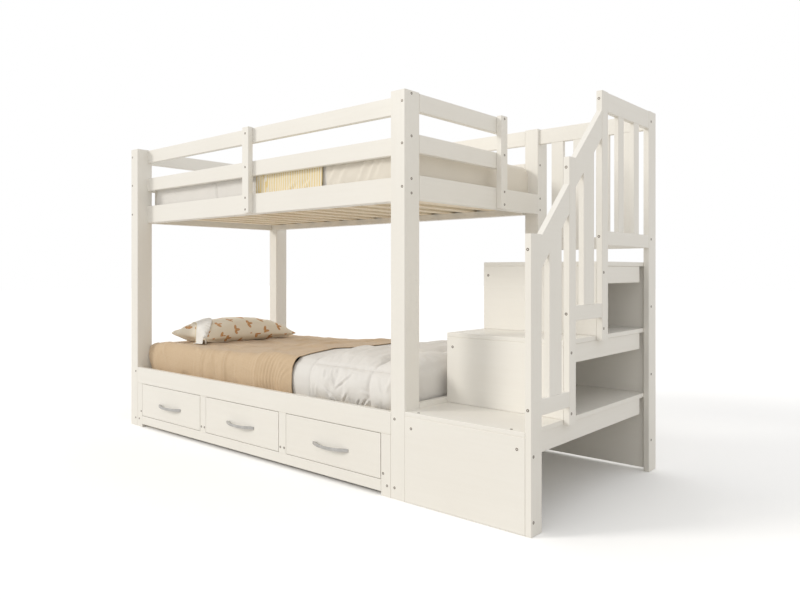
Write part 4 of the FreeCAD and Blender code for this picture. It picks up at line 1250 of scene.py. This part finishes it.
def makeFrill(values, under):
    material = clothMaterial("whiteFrillCloth", values, dyeTape)
    low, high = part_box("pillow")
    corner = np.array([high.x - pillowValues["corners"]["footFront"][0], low.y])
    graph = bpy.context.evaluated_depsgraph_get()
    surfaces = [BVHTree.FromObject(item, graph) for item in under]
    share = np.linspace(0, 1, values["columns"] + 1)
    edges = []
    for name in ("sewn", "free"):
        start, middle, end = (np.array(point) for point in values[name])
        through = 2 * middle - (start + end) / 2          # the curve passes through the middle point
        edges.append(np.outer((1 - share) ** 2, start) + np.outer(2 * share * (1 - share), through)
                     + np.outer(share ** 2, end))
    pleat = math.pi * values["pleats"] * 2 * share
    wave = np.sin(pleat + 1.3 * np.sin(10 * share)) + 0.35 * np.sin(2.3 * pleat + 1.0)
    rows = values["rows"]
    points = np.zeros((len(share), rows + 1, 3))
    for j in range(rows + 1):
        out = j / rows
        places = edges[0] * (1 - out) + edges[1] * out + corner
        rise = values["stand"] + values["pleatHeight"] * (0.55 + 0.5 * wave) * out ** 0.7
        for i, (x, y) in enumerate(places):
            points[i, j] = (x, y, max(ground(item, x, y, high.z) for item in surfaces) + rise[i])
    # a gathered strip bridges small hollows instead of following each one
    height = points[:, :, 2]
    for turn in range(values["bridgings"]):
        height[1:-1] = np.maximum(height[1:-1], (height[:-2] + height[2:]) / 2 - values["dip"])
    width = float(np.linalg.norm(np.diff(points, axis=1), axis=2).sum(axis=1).mean())
    length = float(np.linalg.norm(np.diff(points[:, -1], axis=0), axis=1).sum())
    flatX, flatY = np.meshgrid(share * length, np.linspace(0, width, rows + 1), indexing="ij")
    frill = gridObject("pillowFrill", points, np.stack([flatX, flatY], -1), material)
    addThickness(frill, values["thickness"], -1.0)
    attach(frill, "bed")


makeFrill(frillValues, [pillow, blanket])
print("frill gathered")


# mattresses, whose ends and edges show between the covers

mattressValues = {
    "colour": (0.80, 0.765, 0.70),
    "shade": (0.68, 0.64, 0.57),
    "threads": 500,
    "slub": 0.3,
    "mottle": 0.25,
    "edge": 0.022,
    "edgeSteps": 5,
    "corner": 0.012,
    "cornerSteps": 6,
    "inset": 0.0025,
    "headReach": 0.018,     # of the upper one, behind the post
}


def bevelEdges(work, edges, offset, segments):
    bmesh.ops.bevel(work, geom=edges, offset=offset, segments=segments, affect="EDGES", profile=0.5)


def makeMattress(name, node, material, headReach, values):
    low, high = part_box(node)
    low.x -= headReach
    work = bmesh.new()
    bmesh.ops.create_cube(work, size=1.0)
    size = high - low - Vector((values["inset"],) * 3) * 2
    middle = (low + high) / 2
    for vertex in work.verts:
        vertex.co = Vector(a * b for a, b in zip(vertex.co, size))
    upright = [edge for edge in work.edges if abs(edge.verts[0].co.z - edge.verts[1].co.z) > 0.01]
    bevelEdges(work, upright, values["corner"], values["cornerSteps"])
    rims = [edge for edge in work.edges if len(edge.link_faces) == 2
            and (abs(edge.link_faces[0].normal.z) > 0.9) != (abs(edge.link_faces[1].normal.z) > 0.9)]
    bevelEdges(work, rims, values["edge"], values["edgeSteps"])
    work.verts.index_update()
    points = [vertex.co + middle for vertex in work.verts]
    faces = [[vertex.index for vertex in face.verts] for face in work.faces]
    work.free()
    flat = [(point.x + point.z, point.y + point.z) for point in points]
    mattress = meshObject(name, points, faces, flat, material)
    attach(mattress, "bed")
    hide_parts(node)


ticking = clothMaterial("mattressTicking", mattressValues)
makeMattress("mattressBelow", "lower_mattress", ticking, 0.0, mattressValues)
makeMattress("mattressAbove", "upper_mattress", ticking, mattressValues["headReach"], mattressValues)
print("mattresses made")


# the upper bed: a grey-white sheet, a striped throw and a cream cover

upperValues = {
    "sheet": {
        "colour": (0.86, 0.835, 0.80), "shade": (0.76, 0.735, 0.695), "threads": 1000, "slub": 0.2,
        "mottle": 0.3, "start": 0.004, "end": 1.872, "hem": 0.012, "clear": -0.0012, "edgeRound": 0.024,
        "thickness": 0.0012, "fold": 0.0015, "wave": 0.0030, "crease": 0.0016, "sway": 0.002, "seed": 71,
        "stand": 0.0,       # raised, for its creases to dip into
        "cell": 0.0080,
        "slant": 0.038,     # by which its head edge leans, from the hem up to the top
        "folds": ((0.572, 0.178, 0.618, 0.008, 0.0095, 0.0058), (0.180, 0.160, 0.235, 0.020, 0.0020, 0.0120),
                  (0.400, 0.100, 0.290, 0.160, 0.0018, 0.0110), (0.800, 0.150, 0.840, 0.020, 0.0020, 0.0120)),
    },
    "throw": {
        "colour": (0.90, 0.855, 0.765), "shade": (0.83, 0.77, 0.65), "threads": 700, "slub": 0.4,
        "mottle": 0.2, "inset": 0.001, "clear": 0.0025, "edgeRound": 0.024, "thickness": 0.0025,
        "fold": 0.004, "wave": 0.004, "crease": 0.0020, "sway": 0.002, "seed": 81,
        "stripe": (0.84, 0.67, 0.33),
        "pitch": 0.0165, "bend": 0.012, "slant": 0.0, "stand": 0.006, "cell": 0.0040,
        "folds": ((0.044, 0.185, 0.096, 0.000, -0.0090, 0.0042), (0.013, 0.180, 0.029, 0.00, -0.0070, 0.0036),
                  (0.330, 0.040, 0.390, 0.070, 0.0035, 0.0100), (0.240, 0.030, 0.300, 0.06, -0.0035, 0.0100)),
    },
    "cover": {
        "colour": (0.88, 0.835, 0.755), "shade": (0.80, 0.745, 0.655), "threads": 500, "slub": 0.5,
        "mottle": 0.35, "seed": 91, "cell": 0.0095, "thickness": 0.0035,
        "frontOut": 0.0040, "backOut": 0.0200, "rise": 0.0040, "hem": 0.0100, "edgeRound": 0.030,
        "footRound": 0.024, "footNarrow": 0.0, "footOut": 0.004, "wave": 0.0045, "crease": 0.0040,
        # diagonal creases down its front, and softer ones over the top
        "folds": ((0.190, 0.035, 0.262, 0.160, 0.0058, 0.0085), (0.245, 0.035, 0.318, 0.165, 0.0052, 0.0085),
                  (0.300, 0.050, 0.352, 0.160, 0.0040, 0.0080), (0.005, 0.025, 0.085, 0.160, 0.0044, 0.0110),
                  (0.080, 0.035, 0.150, 0.160, 0.0040, 0.0110), (0.130, 0.300, 0.330, 0.520, 0.0060, 0.0200),
                  (0.080, 0.560, 0.300, 0.860, 0.0070, 0.0220), (0.300, 0.700, 0.400, 0.980, 0.0050, 0.0180)),
    },
}


def dyeStripes(tree, flat, colour):
    values = upperValues["throw"]
    bend = times(tree, addNoise(tree, flat, 9, 1), values["bend"])
    position = plus(tree, split(tree, flat)[0], bend)
    position = addMath(tree, "FRACT", addMath(tree, "DIVIDE", position, values["pitch"]))
    band = addMath(tree, "ABSOLUTE", addMath(tree, "SUBTRACT", position, 0.5))
    return addMix(tree, addRange(tree, band, 0.20, 0.26, 1, 0), colour, values["stripe"])


def softCreases(along, across, values):
    # uneven waves and a few faint creases of a cloth that was spread by hand
    seed = values["seed"]
    wave = values["wave"] * layeredNoise(along * 5 + across, across * 4, seed + 1, 2)
    crease = values["crease"] * creaseNoise(along * 6 + across * 3, across * 4 - along * 2, seed + 4, 3)
    return np.maximum(0.0, wave + crease)


def makeUpperCloth(name, values, material, start, end, hem):
    cell = values["cell"]
    clear = values["clear"]
    drape = drapeLine(upperLow.y - clear, upperHigh.y + clear, hem, upperHigh.z + clear,
                      values["edgeRound"], cell)
    rows = np.linspace(0, end - start, int(round((end - start) / cell)))
    along, across = np.meshgrid(rows, drape["line"], indexing="ij")
    length = float(rows[-1])
    total = float(drape["line"][-1])
    edge = drape["drop"] + drape["arc"]
    hang, hangBack = hangOf(across, edge, total)
    side = np.maximum(hang, hangBack)
    seed = values["seed"]
    swing = np.sin(2 * math.pi * (along * 7 + 0.6 * cloudNoise(along * 4, across * 3, seed)))
    push = softCreases(along, across, values) * (1 - 0.45 * side)
    push += values["fold"] * side * (0.5 + 0.5 * swing) + values["stand"] * rampUp(side, 0.0, 0.1)
    push += creaseLines(along, across, values["folds"], seed + 2) * rampUp(hang, 0.0, 0.1)
    atEnds = rampUp(np.abs(along / length - 0.5), 0.4, 0.5)
    lean = values["slant"] * np.clip(across / edge, 0, 1) * (1 - rampUp(along, 0.0, 0.25))
    sway = values["sway"] * cloudNoise(across * 5, along * 3, seed + 8) * atEnds
    made = gridObject(name, layOn(drape, start + along + lean + sway, np.maximum(0.0, push)),
                      np.stack([along, across], -1), material)
    addThickness(made, values["thickness"], 1.0)
    return made, (round(length * 1.01, 3), round(total * 1.01, 3))


def makeCover(values, node):
    material = clothMaterial("creamCoverCloth", values)
    low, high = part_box(node)
    cover, a, b, lines = clothOverEnd("coverOnTop", (upperLow, upperHigh), np.zeros_like, values,
                                      low.x, high.x + values["footOut"], material)
    total = float(lines["total"])
    hang, hangBack = hangOf(b, lines["edge"], total)
    past = rampUp(a, lines["topLength"], lines["foot"])
    push = softCreases(a, b, values) * (1 - 0.5 * hang) * (1 - 0.7 * past)
    push += creaseLines(a, b, values["folds"], values["seed"]) * (1 - past)
    pushOut(cover, np.maximum(0.0, push))
    makeFiner(cover)
    addThickness(cover, values["thickness"], -1.0)
    area = lines["topLength"] * total + (lines["footHem"] - lines["topLength"]) * lines["footWidth"]
    return cover, (round(lines["footHem"], 3), round(total, 3)), round(float(area), 4)


def makeUpperBedding():
    values = upperValues["sheet"]
    material = clothMaterial("greySheetCloth", values)
    sheet, flat = makeUpperCloth("upperSheet", values, material, upperLow.x + values["start"],
                                 upperLow.x + values["end"], upperLow.z + values["hem"])
    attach(sheet, "bed")
    values = upperValues["throw"]
    low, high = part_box("striped_throw")
    inset = values["inset"]
    material = clothMaterial("throwCloth", values, dyeStripes)
    throw, flat = makeUpperCloth("throwOnTop", values, material, low.x + inset, high.x - inset, low.z + inset)
    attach(throw, "bed")
    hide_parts("striped_throw")
    cover, flat, area = makeCover(upperValues["cover"], "upper_cover")
    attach(cover, "bed")
    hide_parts("upper_cover")


makeUpperBedding()
print("upper bed made")


# bolts: heads with a hexagon socket, set on the faces that the photo shows them on

boltValues = {
    "radius": 0.0052,
    "rise": 0.0009,
    "sunk": 0.001,          # the edge under its rim, in the wood
    "eased": (0.55, 0.84),  # height and radius at which its rim is rounded, as shares
    "sides": 18,            # of every ring, three for each side of the socket
    "socketFlat": 0.134,    # by which the socket's sides lie nearer than its corners
    "socketRadii": (0.002754, 0.002565),    # at its lip and at its bottom
    "socketDepth": 0.0012,
}
# heights from the floor, for the boards that are held alike
longSide = (1.512, 1.352, 1.188)
lowRails = (0.305, 0.043)
headEnd = (1.544, 1.382, 1.220, 1.165, 0.330)
# node, side it faces, place from the node's low corner on that side, and heights
boltPlaces = [
    ("post_foot_front", "-y", 0.058, longSide),
    ("post_foot_front", "-y", 0.020, lowRails),
    ("post_foot_front", "+x", 0.039, headEnd[:4]),
    ("post_foot_back", "+x", 0.020, (1.543, 1.381, 1.219, 1.164)),
    ("post_head_front", "-y", 0.014, longSide),
    ("post_head_front", "-y", 0.052, lowRails),
    ("post_head_front", "-x", 0.039, headEnd),
    ("post_head_back", "-x", 0.048, headEnd),
    ("post_head_back", "+y", 0.014, longSide),
    ("post_head_back", "+y", 0.052, lowRails),
    ("post_foot_back", "+y", 0.058, longSide),
    ("post_foot_back", "+y", 0.020, lowRails),
    ("drawer_bay_stiles", "-y", 0.018, (0.043,)),
    *[("drawer_bay_stiles", "-y", x, (0.087,)) for x in (0.039, 0.631, 0.657, 1.249, 1.275, 1.867)],
    ("drawer_bay_stiles", "-y", 1.888, (0.043,)),
    ("stair_front_panel", "-y", 0.030, (0.280,)),
    ("stair_front_panel", "-y", 0.487, (0.280,)),
    ("stair_upright_1", "+x", 0.013, (0.262, 0.047)),
    ("stair_upright_1", "-y", 0.011, (0.939, 0.413)),
    ("stair_upright_2", "+x", 0.013, (0.578, 0.362)),
    ("stair_upright_2", "-y", 0.011, (1.237, 0.716)),
    ("stair_upright_3", "+x", 0.013, (0.863, 0.648)),
    ("stair_upright_3", "-y", 0.011, (1.530, 1.001)),
    ("stair_upright_4", "+x", 0.023, (1.517, 1.006, 0.714, 0.421, 0.135)),
]
# bolts whose place comes from more than one node
otherBolts = {
    "uprightFromPost": 1.034,
    "uprightHeights": (1.525, 1.364, 1.218, 1.162),
    "endUprightIn": 0.025,
    "endUprightHeights": (1.543, 1.382, 1.219, 1.163),
    "lowRiser": (0.027, 0.564),
    "highRiser": (0.022, 0.850),
    "firstTread": ((0.052, 0.018), (0.456, 0.016)),
}
facings = {"-x": (-1, 0, 0), "+x": (1, 0, 0), "-y": (0, -1, 0), "+y": (0, 1, 0), "+z": (0, 0, 1)}


def boltPoints(values):
    # (place, way it faces) of every bolt, all on the fixed bed
    found = []
    for node, side, offset, heights in boltPlaces:
        low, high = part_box(node)
        face = high if side[0] == "+" else low
        for z in heights:
            place = (face.x, low.y + offset, z) if side[1] == "x" else (low.x + offset, face.y, z)
            found.append((place, side))
    low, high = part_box("guard_uprights")
    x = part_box("post_foot_front")[1].x - values["uprightFromPost"]
    for z in values["uprightHeights"]:
        found.append(((x, low.y, z), "-y"))
        found.append(((x, high.y, z), "+y"))
    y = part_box("foot_guard_rails")[1].y - values["endUprightIn"]
    for z in values["endUprightHeights"]:
        found.append(((high.x, y, z), "+x"))
    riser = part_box("stair_risers")[0]
    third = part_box("stair_tread_3")[0]
    for front, (x, z) in ((riser, values["lowRiser"]), (third, values["highRiser"])):
        found.append(((riser.x + x, front.y, z), "-y"))
    low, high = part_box("stair_tread_1")
    for x, y in values["firstTread"]:
        found.append(((low.x + x, low.y + y, high.z), "+z"))
    return [(place, facings[side]) for place, side in found]


def boltHead(values):
    # a flat head with an eased rim and a six-sided recess, 74 faces
    work = bmesh.new()
    rise = values["rise"]
    easedHeight, easedRadius = values["eased"]
    lipRadius, pitRadius = values["socketRadii"]
    rings = []
    for radius, height, flat in (
            (values["radius"], -values["sunk"], 0),
            (values["radius"], rise * easedHeight, 0),
            (values["radius"] * easedRadius, rise, 0),
            (lipRadius, rise, values["socketFlat"]),
            (pitRadius, rise - values["socketDepth"], values["socketFlat"])):
        ring = []
        for n in range(values["sides"]):
            reach = radius * (1 - flat * math.sin(math.pi * (n % 3) / 3))
            turn = 2 * math.pi * n / values["sides"]
            ring.append(work.verts.new((reach * math.cos(turn), reach * math.sin(turn), height)))
        rings.append(ring)
    for first, second in zip(rings, rings[1:]):
        for n in range(values["sides"]):
            work.faces.new((first[n - 1], first[n], second[n], second[n - 1]))
    work.faces.new(rings[-1])
    work.faces.new(list(reversed(rings[0])))
    bmesh.ops.recalc_face_normals(work, faces=work.faces)
    mesh = bpy.data.meshes.new("boltHead")
    work.to_mesh(mesh)
    work.free()
    return addObject("boltHead", mesh)


def makeBoltTree(material):
    # sets a copy of the head on every point, turned to face the way the point says
    tree = bpy.data.node_groups.new("setBolts", "GeometryNodeTree")
    sockets = {}
    for name, kind in (("Geometry", "Geometry"), ("Head", "Object"), ("Head Scale", "Float")):
        made = tree.interface.new_socket(name=name, in_out="INPUT", socket_type="NodeSocket" + kind)
        sockets[name] = made.identifier
    tree.interface.new_socket(name="Geometry", in_out="OUTPUT", socket_type="NodeSocketGeometry")
    given = tree.nodes.new("NodeGroupInput").outputs
    head = addNode(tree, "GeometryNodeObjectInfo", {"Object": given["Head"]})
    facing = addNode(tree, "GeometryNodeInputNamedAttribute", {"Name": "facing"}, data_type="FLOAT_VECTOR")
    turn = addNode(tree, "FunctionNodeAlignRotationToVector", {
        "Vector": facing.outputs["Attribute"]}, axis="Z")
    instance = addNode(tree, "GeometryNodeInstanceOnPoints", {
        "Points": given["Geometry"], "Instance": head.outputs["Geometry"],
        "Rotation": turn.outputs["Rotation"], "Scale": given["Head Scale"]})
    realize = addNode(tree, "GeometryNodeRealizeInstances", {"Geometry": instance.outputs["Instances"]})
    finish = addNode(tree, "GeometryNodeSetMaterial", {
        "Geometry": realize.outputs["Geometry"], "Material": material})
    addNode(tree, "NodeGroupOutput", {"Geometry": finish.outputs["Geometry"]})
    return tree, sockets


def makeBolts():
    found = boltPoints(otherBolts)
    mesh = bpy.data.meshes.new("bolts")
    mesh.from_pydata([place for place, way in found], [], [])
    facing = mesh.attributes.new("facing", "FLOAT_VECTOR", "POINT")
    facing.data.foreach_set("vector", [part for place, way in found for part in way])
    bolts = addObject("bolts", mesh)
    head = boltHead(boltValues)
    tree, sockets = makeBoltTree(metals["bolt"])
    modifier = bolts.modifiers.new("bolts", "NODES")
    modifier.node_group = tree
    modifier[sockets["Head"]] = head
    modifier[sockets["Head Scale"]] = 1.0
    applyModifiers(bolts)
    bpy.data.objects.remove(head)
    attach(bolts, "bed")
    return len(found)


print("bolts set:", makeBolts())
